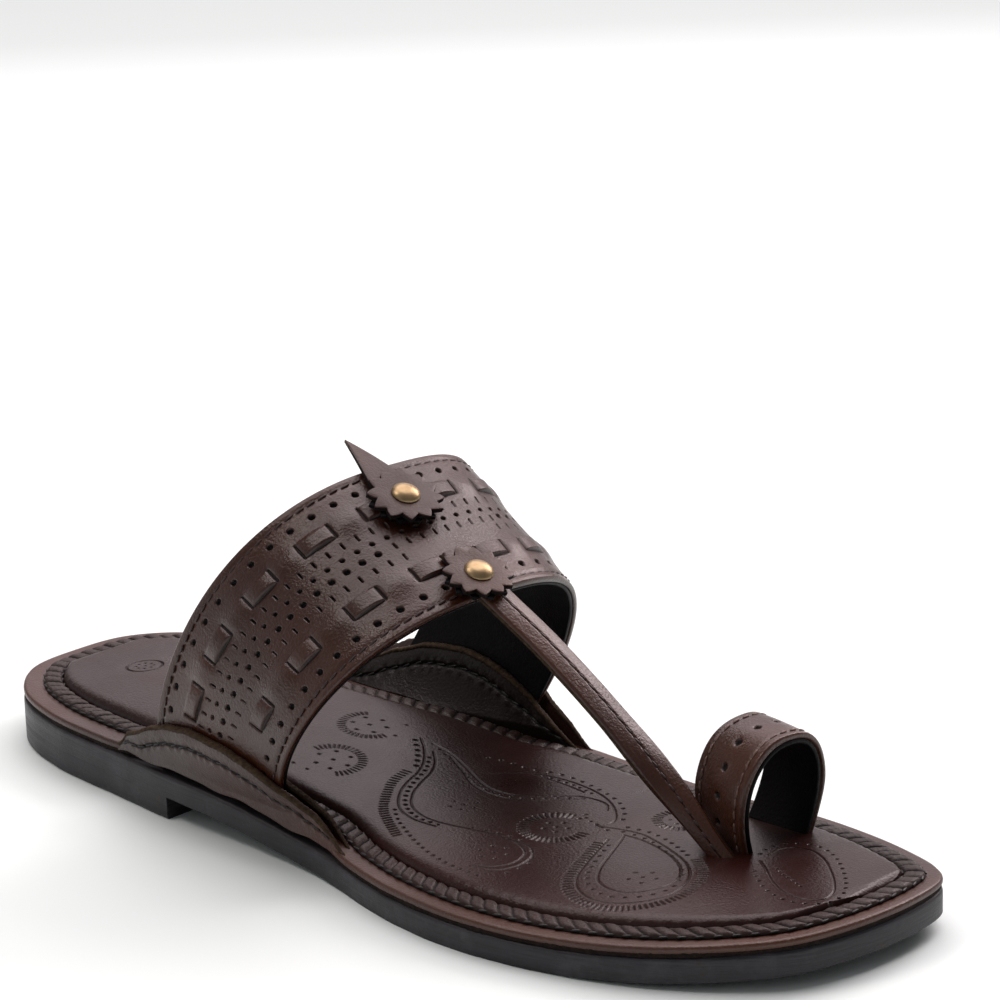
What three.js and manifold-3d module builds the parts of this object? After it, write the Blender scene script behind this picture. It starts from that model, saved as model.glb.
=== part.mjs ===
// Kolhapuri sandal for a right foot, EU size 42, in millimetres.
// +X runs from heel to toe, +Y towards the big-toe side and +Z up. The heel lift and the
// ball of the outsole stand on the floor, and the finished group is moved so that its
// origin is at the middle of its bounding box, on the floor.
import * as THREE from 'three';
import { mergeVertices } from 'three/addons/utils/BufferGeometryUtils.js';
import Module from 'manifold-3d';

const wasm = await Module();
wasm.setup();

// Driving sizes.
const GAP = 0.3;
const HEEL_LIFT = 6.0;
const BREAST_X = 90;
const BALL_START_X = 165;
const BALL_END_X = 215;
const TOE_SPRING = 4.6;
const TOE_SPRING_RUN = 70;
const OUTSOLE_THICKNESS = 5.8;
const TOP_SOLE_THICKNESS = 2.7;
const BRAID_THICKNESS = 1.9;
const BRAID_WIDTH = 5.2;
const FOOTBED_EDGE = 1.8;
const FOOTBED_CROWN = 2.6;
const LEDGE_AT_HEEL = 5.5;
const LEDGE_AT_TOE = 4.0;
const LEDGE_IN_FLAPS = 7.6;
const NOTCH_IN_FLAPS = 2.3;
const BAND_WALL = 2.6;
const TOE_LOOP_WALL = 2.8;
const FLAP_WALL = 1.5;
const THONG_WIDTH = 9;
const THONG_THICKNESS = 3.4;
const ROSETTE_THICKNESS = 2.0;
const ROSETTE_POINTS = 12;
const ROSETTE_NOTCH = 0.78;
const SPIKE_LENGTH = 25.6;
const SPIKE_HALF_WIDTH = 5.6;
const SPIKE_THICKNESS = 1.8;
const RIVET_RADIUS = 3.7;
const RIVET_HEIGHT = 2.6;

// Outline of the sole seen from above: its lateral and medial edge at each station.
const HEEL_BACK = { x: 3.7, y: 0.5 };
const TOE_TIP = { x: 284.4, y: 12.5 };
const SOLE_STATIONS = [
  { place: 'heel round', x: 6, lateral: -16.4, medial: 17.0 },
  { place: 'heel quarter', x: 18, lateral: -29.5, medial: 30.5 },
  { place: 'heel', x: 38, lateral: -37.2, medial: 35.6 },
  { place: 'heel seat', x: 65, lateral: -40.5, medial: 34.4 },
  { place: 'breast', x: 95, lateral: -43.4, medial: 35.8 },
  { place: 'waist', x: 125, lateral: -43.7, medial: 42.4 },
  { place: 'behind the ball', x: 150, lateral: -45.6, medial: 45.5 },
  { place: 'little-toe joint', x: 178, lateral: -52.4, medial: 44.8 },
  { place: 'ball', x: 203, lateral: -54.2, medial: 44.1 },
  { place: 'toes', x: 228, lateral: -50.2, medial: 46.2 },
  { place: 'toe base', x: 248, lateral: -43.2, medial: 43.3 },
  { place: 'toe round', x: 264, lateral: -33.2, medial: 38.3 },
  { place: 'toe corner', x: 276, lateral: -21.4, medial: 32.5 },
  { place: 'toe edge', x: 282, lateral: -6.8, medial: 26.6 },
];

// Side flaps: where each starts and ends along the sole, and where and how high it peaks.
const FLAPS = {
  lateral: { side: -1, start: 68, peak: 103, end: 157, top: 27.5, tip: 15.0 },
  medial: { side: 1, start: 74, peak: 113, end: 156, top: 30.0, tip: 15.0 },
};

// Arched straps: each row is one edge of the strap. Feet stand at height `seat`; `skew`,
// `lean` and `bow` carry the edge forward with y, z and z squared; the half widths go from
// the foot value to the full value; `square` is the superellipse power; `tilt` moves y with z.
const BAND_EDGES = [
  {
    edge: 'back', seat: 14, x: 89.5, skew: 0.11, lean: 0.11, bow: 0.49, centre: 0, footLateral: 40.6,
    footMedial: 33.2, lateral: 44.8, medial: 48.1, height: 76, square: 2.93, tilt: 0.07, settle: 5,
  },
  {
    edge: 'front', seat: 14, x: 135.3, skew: 0.07, lean: 0.4, bow: 0.49, centre: 0, footLateral: 42,
    footMedial: 41.2, lateral: 47.8, medial: 48.2, height: 54.6, square: 2.53, tilt: -0.07, settle: 5,
  },
];
const TOE_LOOP_EDGES = [
  {
    edge: 'back', seat: 11, x: 221.3, skew: 0.09, lean: 0.05, bow: 0.15, centre: 22.7, footLateral: 8.2,
    footMedial: 8.2, lateral: 16.7, medial: 16.7, height: 30.1, square: 2.42, tilt: 0.02, settle: 2,
  },
  {
    edge: 'front', seat: 11, x: 239.9, skew: 0.11, lean: 0.1, bow: 0.04, centre: 18.3, footLateral: 10.7,
    footMedial: 10.7, lateral: 17, medial: 17, height: 30.8, square: 2.34, tilt: 0.01, settle: 2,
  },
];

// Where the rosettes sit on the band: angle over the arch and share of the way to the front.
const ROSETTES = [
  { place: 'back', angle: 86.5, share: 0.297, radius: 9.8, stack: SPIKE_THICKNESS + 2 * GAP },
  { place: 'front', angle: 86.2, share: 0.939, radius: 9.0, stack: THONG_THICKNESS + GAP },
];
const THONG_ANGLE = 88.6;
const THONG_START_SHARE = 0.72;
const THONG_END = new THREE.Vector3(236.6, 3.9, 14.6);
const THONG_RISE = 3.2;

// Mesh detail.
const SOLE_STEPS = 44;
const SOLE_ACROSS = 4;
const FOOTBED_ACROSS = 10;
const BAND_STEPS = 34;
const BAND_ACROSS = 5;
const FLAP_STEPS = 22;
const FLAP_RISE_STEPS = 4;
const THONG_STEPS = 16;
const RIVET_STEPS = 20;

const lerp = THREE.MathUtils.lerp;
const smooth = (value, low, high) => THREE.MathUtils.smoothstep(value, low, high);

// ---- closed bodies from grids ------------------------------------------------------------

// Merges equal corners, drops flat triangles and turns the faces outwards.
function closedGeometry(triangles) {
  const raw = new THREE.BufferGeometry();
  const flat = triangles.flatMap((point) => [point.x, point.y, point.z]);
  raw.setAttribute('position', new THREE.Float32BufferAttribute(flat, 3));
  const merged = mergeVertices(raw, 1e-3);
  const corners = merged.index.array;
  const kept = [];
  for (let i = 0; i < corners.length; i += 3) {
    const [a, b, c] = [corners[i], corners[i + 1], corners[i + 2]];
    if (a !== b && b !== c && c !== a) {
      kept.push(a, b, c);
    }
  }
  merged.setIndex(kept);
  if (signedVolume(merged) < 0) {
    merged.setIndex(kept.slice().reverse());
  }
  return merged;
}

function signedVolume(geometry) {
  const position = geometry.attributes.position;
  const index = geometry.index.array;
  const corner = [new THREE.Vector3(), new THREE.Vector3(), new THREE.Vector3()];
  let volume = 0;
  for (let i = 0; i < index.length; i += 3) {
    corner.forEach((point, k) => point.fromBufferAttribute(position, index[i + k]));
    volume += corner[0].dot(corner[1].cross(corner[2])) / 6;
  }
  return volume;
}

// A body between two faces, each a function of the grid place (i, j), with walls all round.
function bodyBetween(rows, columns, front, back) {
  const triangles = [];
  const quad = (a, b, c, d) => triangles.push(a, b, c, a, c, d);
  for (let i = 0; i < rows; i += 1) {
    for (let j = 0; j < columns; j += 1) {
      quad(front(i, j), front(i + 1, j), front(i + 1, j + 1), front(i, j + 1));
      quad(back(i, j), back(i, j + 1), back(i + 1, j + 1), back(i + 1, j));
    }
  }
  for (let i = 0; i < rows; i += 1) {
    quad(front(i + 1, 0), front(i, 0), back(i, 0), back(i + 1, 0));
    quad(front(i, columns), front(i + 1, columns), back(i + 1, columns), back(i, columns));
  }
  for (let j = 0; j < columns; j += 1) {
    quad(front(0, j), front(0, j + 1), back(0, j + 1), back(0, j));
    quad(front(rows, j + 1), front(rows, j), back(rows, j), back(rows, j + 1));
  }
  return closedGeometry(triangles);
}

function toSolid(geometry) {
  const bare = geometry.clone();
  bare.deleteAttribute('normal');
  bare.deleteAttribute('uv');
  const merged = mergeVertices(bare, 1e-4);
  return new wasm.Manifold(new wasm.Mesh({
    numProp: 3,
    vertProperties: new Float32Array(merged.attributes.position.array),
    triVerts: new Uint32Array(merged.index.array),
  }));
}

function toGeometry(solid) {
  const mesh = solid.getMesh();
  const geometry = new THREE.BufferGeometry();
  geometry.setAttribute('position', new THREE.Float32BufferAttribute(mesh.vertProperties, 3));
  geometry.setIndex(Array.from(mesh.triVerts));
  geometry.computeVertexNormals();
  return geometry;
}

// ---- sole --------------------------------------------------------------------------------

function outlineCurve() {
  const lateral = SOLE_STATIONS.map((row) => new THREE.Vector3(row.x, row.lateral, 0));
  const medial = SOLE_STATIONS.map((row) => new THREE.Vector3(row.x, row.medial, 0)).reverse();
  const heel = new THREE.Vector3(HEEL_BACK.x, HEEL_BACK.y, 0);
  const toe = new THREE.Vector3(TOE_TIP.x, TOE_TIP.y, 0);
  return new THREE.CatmullRomCurve3([heel, ...lateral, toe, ...medial], true, 'centripetal');
}

const OUTLINE = outlineCurve();

// Share of the flaps' full effect at x on one side: 0 outside, 1 along the middle.
function flapShare(x, side) {
  const flap = side < 0 ? FLAPS.lateral : FLAPS.medial;
  return smooth(x, flap.start - 6, flap.start + 12) * (1 - smooth(x, flap.end - 16, flap.end + 4));
}

// A point of the outline, moved inwards; `step` runs 0 to SOLE_STEPS from heel to toe.
function outlinePoint(step, side, inset) {
  const half = (0.5 * step) / SOLE_STEPS;
  const at = side < 0 ? half : 1 - half;
  const point = OUTLINE.getPoint(at % 1);
  const along = OUTLINE.getTangent(at % 1);
  const amount = inset(point.x, side);
  return point.add(new THREE.Vector3(-along.y, along.x, 0).multiplyScalar(amount));
}

const underside = (x) => {
  const behind = (HEEL_LIFT + GAP) * (1 - smooth(x, BREAST_X, BALL_START_X));
  const spring = TOE_SPRING * Math.pow(Math.max(0, x - BALL_END_X) / TOE_SPRING_RUN, 1.8);
  return behind + spring;
};
const outsoleTop = (x) => underside(x) + OUTSOLE_THICKNESS;
const topSoleBase = (x) => outsoleTop(x) + GAP;
const topSoleTop = (x) => topSoleBase(x) + TOP_SOLE_THICKNESS;
const beddingBase = (x) => topSoleTop(x) + GAP;

// A layer that fills the outline, less `inset`, between two heights that follow x and the
// share v of the way across.
function layer(inset, low, high, across = SOLE_ACROSS) {
  const place = (i, j, height) => {
    const v = j / across;
    const point = outlinePoint(i, -1, inset).lerp(outlinePoint(i, 1, inset), v);
    point.z = height(point.x, v);
    return point;
  };
  return bodyBetween(SOLE_STEPS, across, (i, j) => place(i, j, high), (i, j) => place(i, j, low));
}

const ledge = (x, side) => {
  const plain = lerp(LEDGE_AT_HEEL, LEDGE_AT_TOE, smooth(x, 40, 240));
  return lerp(plain, LEDGE_IN_FLAPS, flapShare(x, side));
};
const notch = (x, side) => NOTCH_IN_FLAPS * flapShare(x, side);
const bedInset = (x, side) => ledge(x, side) + BRAID_WIDTH + GAP;

function heelLift() {
  const whole = toSolid(layer(() => 0.2, () => 0, () => HEEL_LIFT));
  const behindBreast = new THREE.BoxGeometry(BREAST_X, 200, 40).translate(BREAST_X / 2, 0, 0);
  return toGeometry(whole.intersect(toSolid(behindBreast)));
}

const outsole = () => layer(() => 0, underside, outsoleTop);
const topSole = () => layer(notch, topSoleBase, topSoleTop);

function edgeBraid() {
  const braidTop = (x) => beddingBase(x) + BRAID_THICKNESS;
  const outer = toSolid(layer(ledge, beddingBase, braidTop));
  const core = (x, side) => ledge(x, side) + BRAID_WIDTH;
  const inner = toSolid(layer(core, (x) => beddingBase(x) - 1, (x) => braidTop(x) + 1));
  return toGeometry(outer.subtract(inner));
}

// The padded footbed: an edge that rolls over into a crowned top.
function footbed(grow = 0) {
  const inset = (x, side) => bedInset(x, side) - grow;
  const crown = (v) => Math.sqrt(Math.max(0, 1 - Math.abs(2 * v - 1) ** 4));
  const high = (x, v) => {
    const ends = Math.sqrt(smooth(x, 12, 40) * (1 - smooth(x, 250, 280)));
    return beddingBase(x) + FOOTBED_EDGE + FOOTBED_CROWN * crown(v) * ends + grow;
  };
  return layer(inset, (x) => beddingBase(x) - grow, high, FOOTBED_ACROSS);
}

// ---- arched straps -----------------------------------------------------------------------

// A point of one edge of an arch: angle 0 at the lateral foot and PI at the medial foot.
function edgePoint(row, angle) {
  const power = 2 / row.square;
  const rise = row.height * Math.pow(Math.max(0, Math.sin(angle)), power);
  const spread = Math.pow(Math.abs(Math.cos(angle)), power);
  const settled = 1 - Math.pow(1 - rise / row.height, row.settle);
  const lateral = lerp(row.footLateral, row.lateral, settled);
  const medial = lerp(row.footMedial, row.medial, settled);
  const across = Math.cos(angle) > 0 ? -lateral * spread : medial * spread;
  const y = across + row.tilt * rise;
  const x = row.x + row.skew * y + row.lean * rise + (row.bow * rise * rise) / 100;
  return new THREE.Vector3(x, row.centre + y, row.seat + rise);
}

// A point of the arch between its two edges, `share` of the way from back to front.
const archPoint = (edges, angle, share) => {
  const back = edgePoint(edges[0], angle);
  return back.lerp(edgePoint(edges[1], angle), share);
};

function archNormal(edges, angle, share) {
  const inside = THREE.MathUtils.clamp(angle, 0.02, Math.PI - 0.02);
  const over = archPoint(edges, inside + 0.01, share).sub(archPoint(edges, inside - 0.01, share));
  const forward = archPoint(edges, inside, share + 0.05).sub(archPoint(edges, inside, share - 0.05));
  return forward.cross(over).normalize();
}

// The wall of an arch from `out` mm outside its surface to `wall` mm inside it. Its feet run
// on down by `drop`, and its edges may be widened by a share of its width.
function archWall(edges, { out, wall, drop, widen = 0, steps = BAND_STEPS, across = BAND_ACROSS }) {
  const face = (i, j, offset) => {
    const share = lerp(-widen, 1 + widen, j / across);
    const row = THREE.MathUtils.clamp(i - 1, 0, steps);
    const angle = (Math.PI * row) / steps;
    const point = archPoint(edges, angle, share);
    point.addScaledVector(archNormal(edges, angle, share), offset);
    if (i === 0 || i === steps + 2) {
      point.z -= drop;
    }
    return point;
  };
  return bodyBetween(steps + 2, across, (i, j) => face(i, j, out), (i, j) => face(i, j, -wall));
}

const ridgePoint = (share, lift) => {
  const angle = THREE.MathUtils.degToRad(THONG_ANGLE);
  const point = archPoint(BAND_EDGES, angle, share);
  return point.addScaledVector(archNormal(BAND_EDGES, angle, share), lift);
};

// The folded strap from the front rosette down to the toe loop, turning on edge as it lands.
function thong() {
  const lift = THONG_THICKNESS / 2 - 0.2;
  const leaving = ridgePoint(1.0, lift);
  const between = (share) => {
    const point = leaving.clone().lerp(THONG_END, share);
    point.z += 4 * THONG_RISE * share * (1 - share);
    return point;
  };
  const path = new THREE.CatmullRomCurve3([
    ridgePoint(THONG_START_SHARE, lift), ridgePoint(0.88, lift), leaving,
    between(0.25), between(0.5), between(0.75), THONG_END,
  ], false, 'centripetal');
  const across = new THREE.Vector3(0, 1, 0);
  const onEdge = new THREE.Vector3(0.45, 0.45, 0.77).normalize();
  const face = (i, j, height) => {
    const share = i / THONG_STEPS;
    const along = path.getTangentAt(share);
    const wide = across.clone().lerp(onEdge, smooth(share, 0.55, 1.0));
    wide.addScaledVector(along, -wide.dot(along)).normalize();
    const normal = along.clone().cross(wide);
    const point = path.getPointAt(share);
    point.addScaledVector(wide, THONG_WIDTH * (j - 0.5));
    return point.addScaledVector(normal, height);
  };
  const half = THONG_THICKNESS / 2;
  return bodyBetween(THONG_STEPS, 1, (i, j) => face(i, j, half), (i, j) => face(i, j, -half));
}

function upper() {
  const band = toSolid(archWall(BAND_EDGES, { out: 0, wall: BAND_WALL, drop: 4 }));
  const loop = toSolid(archWall(TOE_LOOP_EDGES, {
    out: 0, wall: TOE_LOOP_WALL, drop: 2, steps: 24, across: 2,
  }));
  const joined = band.add(toSolid(thong())).add(loop);
  const soleBelow = toSolid(layer(() => -10, () => -20, beddingBase));
  const bedBelow = toSolid(footbed(GAP));
  return joined.subtract(soleBelow).subtract(bedBelow);
}

// ---- side flaps --------------------------------------------------------------------------

// Width of the band's outer face at a height on one side, between its edges in x.
function bandSide(side, x, z) {
  const at = BAND_EDGES.map((row) => {
    const rise = Math.max(0, z - row.seat) / row.height;
    const angle = Math.asin(Math.pow(rise, row.square / 2));
    return edgePoint(row, side < 0 ? angle : Math.PI - angle);
  });
  const share = THREE.MathUtils.clamp((x - at[0].x) / (at[1].x - at[0].x), 0, 1);
  return Math.abs(lerp(at[0].y, at[1].y, share));
}

function soleEdge(side, x) {
  let low = 0;
  let high = SOLE_STEPS;
  for (let k = 0; k < 30; k += 1) {
    const middle = (low + high) / 2;
    if (outlinePoint(middle, side, () => 0).x < x) {
      low = middle;
    } else {
      high = middle;
    }
  }
  return Math.abs(outlinePoint(low, side, () => 0).y);
}

// Top edge of a flap: a hump that peaks once and dies away at both ends.
function flapTop(flap, x) {
  const run = x < flap.peak ? flap.peak - flap.start : flap.end - flap.peak;
  const away = Math.min(1, Math.abs(x - flap.peak) / run);
  const foot = beddingBase(x) + 1.2;
  return lerp(foot, flap.top, (1 - away * away) ** 1.25);
}

// The doubled leather flap that grips the foot of the band between its two walls.
function sideFlap(flap, bandCut, soleCut, bedCut) {
  const face = (i, j, inner) => {
    const x = lerp(flap.start, flap.end, i / FLAP_STEPS);
    const z = lerp(outsoleTop(x) + GAP, flapTop(flap, x), j / FLAP_RISE_STEPS);
    const held = smooth(x, flap.start, flap.start + 14) * (1 - smooth(x, flap.end - 22, flap.end));
    const edge = soleEdge(flap.side, x) - 0.4;
    const wide = bandSide(flap.side, x, z);
    const outerWidth = lerp(edge, Math.max(edge, wide + GAP + FLAP_WALL), held);
    const innerWidth = lerp(edge - 3.4, wide - BAND_WALL - GAP - FLAP_WALL, held);
    return new THREE.Vector3(x, flap.side * (inner ? innerWidth : outerWidth), z);
  };
  const block = bodyBetween(
    FLAP_STEPS, FLAP_RISE_STEPS, (i, j) => face(i, j, false), (i, j) => face(i, j, true),
  );
  return toGeometry(toSolid(block).subtract(bandCut).subtract(soleCut).subtract(bedCut));
}

// ---- rosettes, spike and rivets ----------------------------------------------------------

// Frame of a rosette: its centre on the band, with the normal and the way to the back.
function rosetteFrame(rosette) {
  const angle = THREE.MathUtils.degToRad(rosette.angle);
  const normal = archNormal(BAND_EDGES, angle, rosette.share);
  const forward = archPoint(BAND_EDGES, angle, 1).sub(archPoint(BAND_EDGES, angle, 0)).normalize();
  const left = normal.clone().cross(forward).normalize();
  const ahead = left.clone().cross(normal).normalize();
  const centre = archPoint(BAND_EDGES, angle, rosette.share);
  return new THREE.Matrix4().makeBasis(ahead, left, normal).setPosition(centre);
}

function rosetteShape(radius) {
  const points = [];
  for (let k = 0; k < 2 * ROSETTE_POINTS; k += 1) {
    const angle = (Math.PI * k) / ROSETTE_POINTS;
    const reach = k % 2 === 0 ? radius : radius * ROSETTE_NOTCH;
    points.push(new THREE.Vector2(reach * Math.cos(angle), reach * Math.sin(angle)));
  }
  return new THREE.Shape(points);
}

function rosetteDisc(rosette) {
  const disc = new THREE.ExtrudeGeometry(rosetteShape(rosette.radius), {
    depth: ROSETTE_THICKNESS, bevelEnabled: false,
  });
  return disc.translate(0, 0, rosette.stack);
}

// A domed rivet head: a closed profile turned about the rosette's own axis.
function rivetHead(rosette) {
  const profile = [new THREE.Vector2(0, 0)];
  for (let k = 0; k <= 6; k += 1) {
    const angle = (Math.PI * k) / 12;
    profile.push(new THREE.Vector2(RIVET_RADIUS * Math.cos(angle), 0.6 + (RIVET_HEIGHT - 0.6) * Math.sin(angle)));
  }
  profile[profile.length - 1].x = 0;
  profile.splice(1, 0, new THREE.Vector2(RIVET_RADIUS, 0));
  const head = new THREE.LatheGeometry(profile, RIVET_STEPS);
  head.rotateX(Math.PI / 2);
  return head.translate(0, 0, rosette.stack + ROSETTE_THICKNESS + GAP);
}

// The pointed tab that lies under the back rosette and runs out past the band's back edge.
function spikeTab() {
  const shape = new THREE.Shape();
  shape.moveTo(3, -SPIKE_HALF_WIDTH);
  shape.quadraticCurveTo(-0.5 * SPIKE_LENGTH, -0.72 * SPIKE_HALF_WIDTH, -SPIKE_LENGTH, 0);
  shape.quadraticCurveTo(-0.5 * SPIKE_LENGTH, 0.72 * SPIKE_HALF_WIDTH, 3, SPIKE_HALF_WIDTH);
  shape.closePath();
  const tab = new THREE.ExtrudeGeometry(shape, {
    depth: SPIKE_THICKNESS, bevelEnabled: false, curveSegments: 8,
  });
  return tab.translate(0, 0, GAP);
}

// ---- materials and assembly --------------------------------------------------------------

const leather = (color, roughness = 0.45) => new THREE.MeshStandardMaterial({ color, roughness, metalness: 0 });
const MATERIALS = {
  sole: leather(0x17171a, 0.5),
  topSole: leather(0x3a2620),
  braid: leather(0x2a1b17),
  footbed: leather(0x38231e),
  flap: leather(0x35231e),
  upper: leather(0x3b2720),
  trim: leather(0x33211b),
  brass: new THREE.MeshStandardMaterial({ color: 0xa58a55, roughness: 0.3, metalness: 1 }),
};

const sandal = new THREE.Group();

function addPiece(name, geometry, material, frame) {
  const piece = new THREE.Mesh(geometry, material);
  piece.name = name;
  if (frame) {
    piece.applyMatrix4(frame);
  }
  sandal.add(piece);
}

addPiece('heel_lift', heelLift(), MATERIALS.sole);
addPiece('outsole', outsole(), MATERIALS.sole);
addPiece('top_sole', topSole(), MATERIALS.topSole);
addPiece('edge_braid', edgeBraid(), MATERIALS.braid);
addPiece('footbed', footbed(), MATERIALS.footbed);
addPiece('upper', toGeometry(upper()), MATERIALS.upper);

const bandCut = toSolid(archWall(BAND_EDGES, {
  out: GAP, wall: BAND_WALL + GAP, drop: 12, widen: 0.012,
}));
const grownNotch = (x, side) => notch(x, side) - GAP;
const topSoleCut = toSolid(layer(grownNotch, (x) => topSoleBase(x) - GAP, beddingBase));
const grownLedge = (x, side) => ledge(x, side) - GAP;
const beddingCut = toSolid(layer(grownLedge, topSoleBase, (x) => beddingBase(x) + 20));
addPiece('side_flap_lateral', sideFlap(FLAPS.lateral, bandCut, topSoleCut, beddingCut), MATERIALS.flap);
addPiece('side_flap_medial', sideFlap(FLAPS.medial, bandCut, topSoleCut, beddingCut), MATERIALS.flap);

for (const rosette of ROSETTES) {
  const frame = rosetteFrame(rosette);
  addPiece(`rosette_${rosette.place}`, rosetteDisc(rosette), MATERIALS.trim, frame);
  addPiece(`rivet_${rosette.place}`, rivetHead(rosette), MATERIALS.brass, frame);
}
addPiece('spike_tab', spikeTab(), MATERIALS.trim, rosetteFrame(ROSETTES[0]));

const box = new THREE.Box3().setFromObject(sandal, true);
const middle = box.getCenter(new THREE.Vector3());
sandal.position.set(-middle.x, -middle.y, -box.min.z);

export default sandal;
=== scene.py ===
import math

import bmesh
import bpy
import numpy as np
from mathutils import Matrix, Vector


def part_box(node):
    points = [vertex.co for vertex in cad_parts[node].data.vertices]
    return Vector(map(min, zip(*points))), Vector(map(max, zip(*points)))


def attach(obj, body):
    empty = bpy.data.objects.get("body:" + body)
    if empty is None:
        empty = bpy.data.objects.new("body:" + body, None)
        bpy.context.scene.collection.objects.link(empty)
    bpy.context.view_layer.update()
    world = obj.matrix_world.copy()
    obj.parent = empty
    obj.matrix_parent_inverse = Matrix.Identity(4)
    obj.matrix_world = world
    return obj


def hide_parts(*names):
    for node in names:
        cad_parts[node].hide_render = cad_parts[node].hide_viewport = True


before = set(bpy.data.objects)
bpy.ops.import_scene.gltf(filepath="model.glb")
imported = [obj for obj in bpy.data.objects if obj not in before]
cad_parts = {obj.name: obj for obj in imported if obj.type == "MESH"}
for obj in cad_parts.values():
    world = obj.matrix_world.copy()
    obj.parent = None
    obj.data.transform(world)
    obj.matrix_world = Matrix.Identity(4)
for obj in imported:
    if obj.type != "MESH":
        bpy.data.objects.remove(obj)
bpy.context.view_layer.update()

# Kolhapuri sandal for a right foot. Lengths below are millimetres in the maker's frame:
# x from the back of the heel to the toe, y towards the big-toe side, z up from the floor.
MM = 0.001
GAP = 0.3
HEEL_LIFT = 6.0
BREAST_X = 90.0
BALL_START_X = 165.0
BALL_END_X = 215.0
TOE_SPRING = 4.6
TOE_SPRING_RUN = 70.0
OUTSOLE_THICKNESS = 5.8
TOP_SOLE_THICKNESS = 2.7
BRAID_WIDTH = 5.2
LEDGE_AT_HEEL = 5.5
LEDGE_AT_TOE = 4.0
LEDGE_IN_FLAPS = 7.6
NOTCH_IN_FLAPS = 2.3

HEEL_BACK = (3.7, 0.5)
TOE_TIP = (284.4, 12.5)
# Sole outline: station x, lateral y, medial y.
SOLE_STATIONS = np.array([
    (6, -16.4, 17.0), (18, -29.5, 30.5), (38, -37.2, 35.6), (65, -40.5, 34.4),
    (95, -43.4, 35.8), (125, -43.7, 42.4), (150, -45.6, 45.5), (178, -52.4, 44.8),
    (203, -54.2, 44.1), (228, -50.2, 46.2), (248, -43.2, 43.3), (264, -33.2, 38.3),
    (276, -21.4, 32.5), (282, -6.8, 26.6),
])

# Stations where an ear starts, peaks and ends, and the height of its crest.
FLAPS = {
    "lateral": dict(side=-1, start=68.0, peak=103.0, end=157.0, top=27.5),
    "medial": dict(side=1, start=74.0, peak=113.0, end=156.0, top=30.0),
}

# Back and front edge of an arched strap: height of its seat, station x, forward shift with y
# (skew), with the rise (lean) and with its square (bow), middle, half widths at the foot and
# above it, height, squareness of the superellipse, sideways tilt, and how fast the widths settle.
BAND_EDGES = (
    dict(seat=14, x=89.5, skew=0.11, lean=0.11, bow=0.49, centre=0, foot_lateral=40.6, foot_medial=33.2,
         lateral=44.8, medial=48.1, height=76, square=2.93, tilt=0.07, settle=5),
    dict(seat=14, x=135.3, skew=0.07, lean=0.4, bow=0.49, centre=0, foot_lateral=42, foot_medial=41.2,
         lateral=47.8, medial=48.2, height=54.6, square=2.53, tilt=-0.07, settle=5),
)
TOE_LOOP_EDGES = (
    dict(seat=11, x=221.3, skew=0.09, lean=0.05, bow=0.15, centre=22.7, foot_lateral=8.2, foot_medial=8.2,
         lateral=16.7, medial=16.7, height=30.1, square=2.42, tilt=0.02, settle=2),
    dict(seat=11, x=239.9, skew=0.11, lean=0.1, bow=0.04, centre=18.3, foot_lateral=10.7, foot_medial=10.7,
         lateral=17, medial=17, height=30.8, square=2.34, tilt=0.01, settle=2),
)
BAND_WIDTH = 50.0
TOE_LOOP_WIDTH = 20.0
STITCH_INSET = 2.5
THONG_ANGLE = 87.6
THONG_END = (236.6, 3.9, 11.2)
THONG_RISE = 3.8
THONG_WIDTH = 9.0
THONG_THICKNESS = 3.4


# ---- small helpers ------------------------------------------------------------------------

def smooth(value, low, high):
    """Rises from 0 at low to 1 at high along three t squared less two t cubed."""
    t = np.clip((np.asarray(value, float) - low) / (high - low), 0, 1)
    return t * t * (3 - 2 * t)


def mix(a, b, share):
    """a plus a share of the way to b."""
    return a + (b - a) * share


def unit(vectors):
    """Vectors scaled to length one."""
    return vectors / np.maximum(np.linalg.norm(vectors, axis=-1, keepdims=True), 1e-12)


def smooth_curve(points, per_span=24, closed=False):
    """Centripetal Catmull-Rom curve through the points: each span is a cubic whose end slopes
    weigh the neighbouring chords by the square root of their lengths."""
    p = np.asarray(points, float)
    if closed:
        ring = np.vstack([p[-1:], p, p[:2]])
    else:
        ring = np.vstack([2 * p[:1] - p[1:2], p, 2 * p[-1:] - p[-2:-1]])
    p0, p1, p2, p3 = (ring[k:len(ring) - 3 + k] for k in range(4))
    gap = lambda a, b: np.sqrt(np.maximum(np.linalg.norm(b - a, axis=1), 1e-6))[:, None]
    d0, d1, d2 = gap(p0, p1), gap(p1, p2), gap(p2, p3)
    out = ((p1 - p0) / d0 - (p2 - p0) / (d0 + d1) + (p2 - p1) / d1) * d1
    into = ((p2 - p1) / d1 - (p3 - p1) / (d1 + d2) + (p3 - p2) / d2) * d1
    t = np.linspace(0, 1, per_span, endpoint=False)[None, :, None]
    a, b, m, n = p1[:, None], p2[:, None], out[:, None], into[:, None]
    line = a + m * t + (3 * (b - a) - 2 * m - n) * t ** 2 + (2 * (a - b) + m + n) * t ** 3
    line = line.reshape(-1, p.shape[1])
    return line if closed else np.vstack([line, p[-1:]])


def run_of(line):
    """Length from a polyline's start to each of its points."""
    return np.r_[0, np.cumsum(np.linalg.norm(np.diff(line, axis=0), axis=1))]


def at_run(line, run, wanted):
    """Points of a polyline at the wanted lengths from its start."""
    return np.stack([np.interp(wanted, run, line[:, k]) for k in range(line.shape[1])], -1)


def by_length(line, places):
    """Points of a polyline at the given shares of its length."""
    run = run_of(line)
    return at_run(line, run, np.asarray(places) * run[-1])


def headings(line, places, step=0.004):
    """Unit directions of a polyline at the given shares of its length."""
    after, before = (by_length(line, np.clip(places + move, 0, 1)) for move in (step, -step))
    return unit(after - before)


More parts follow.
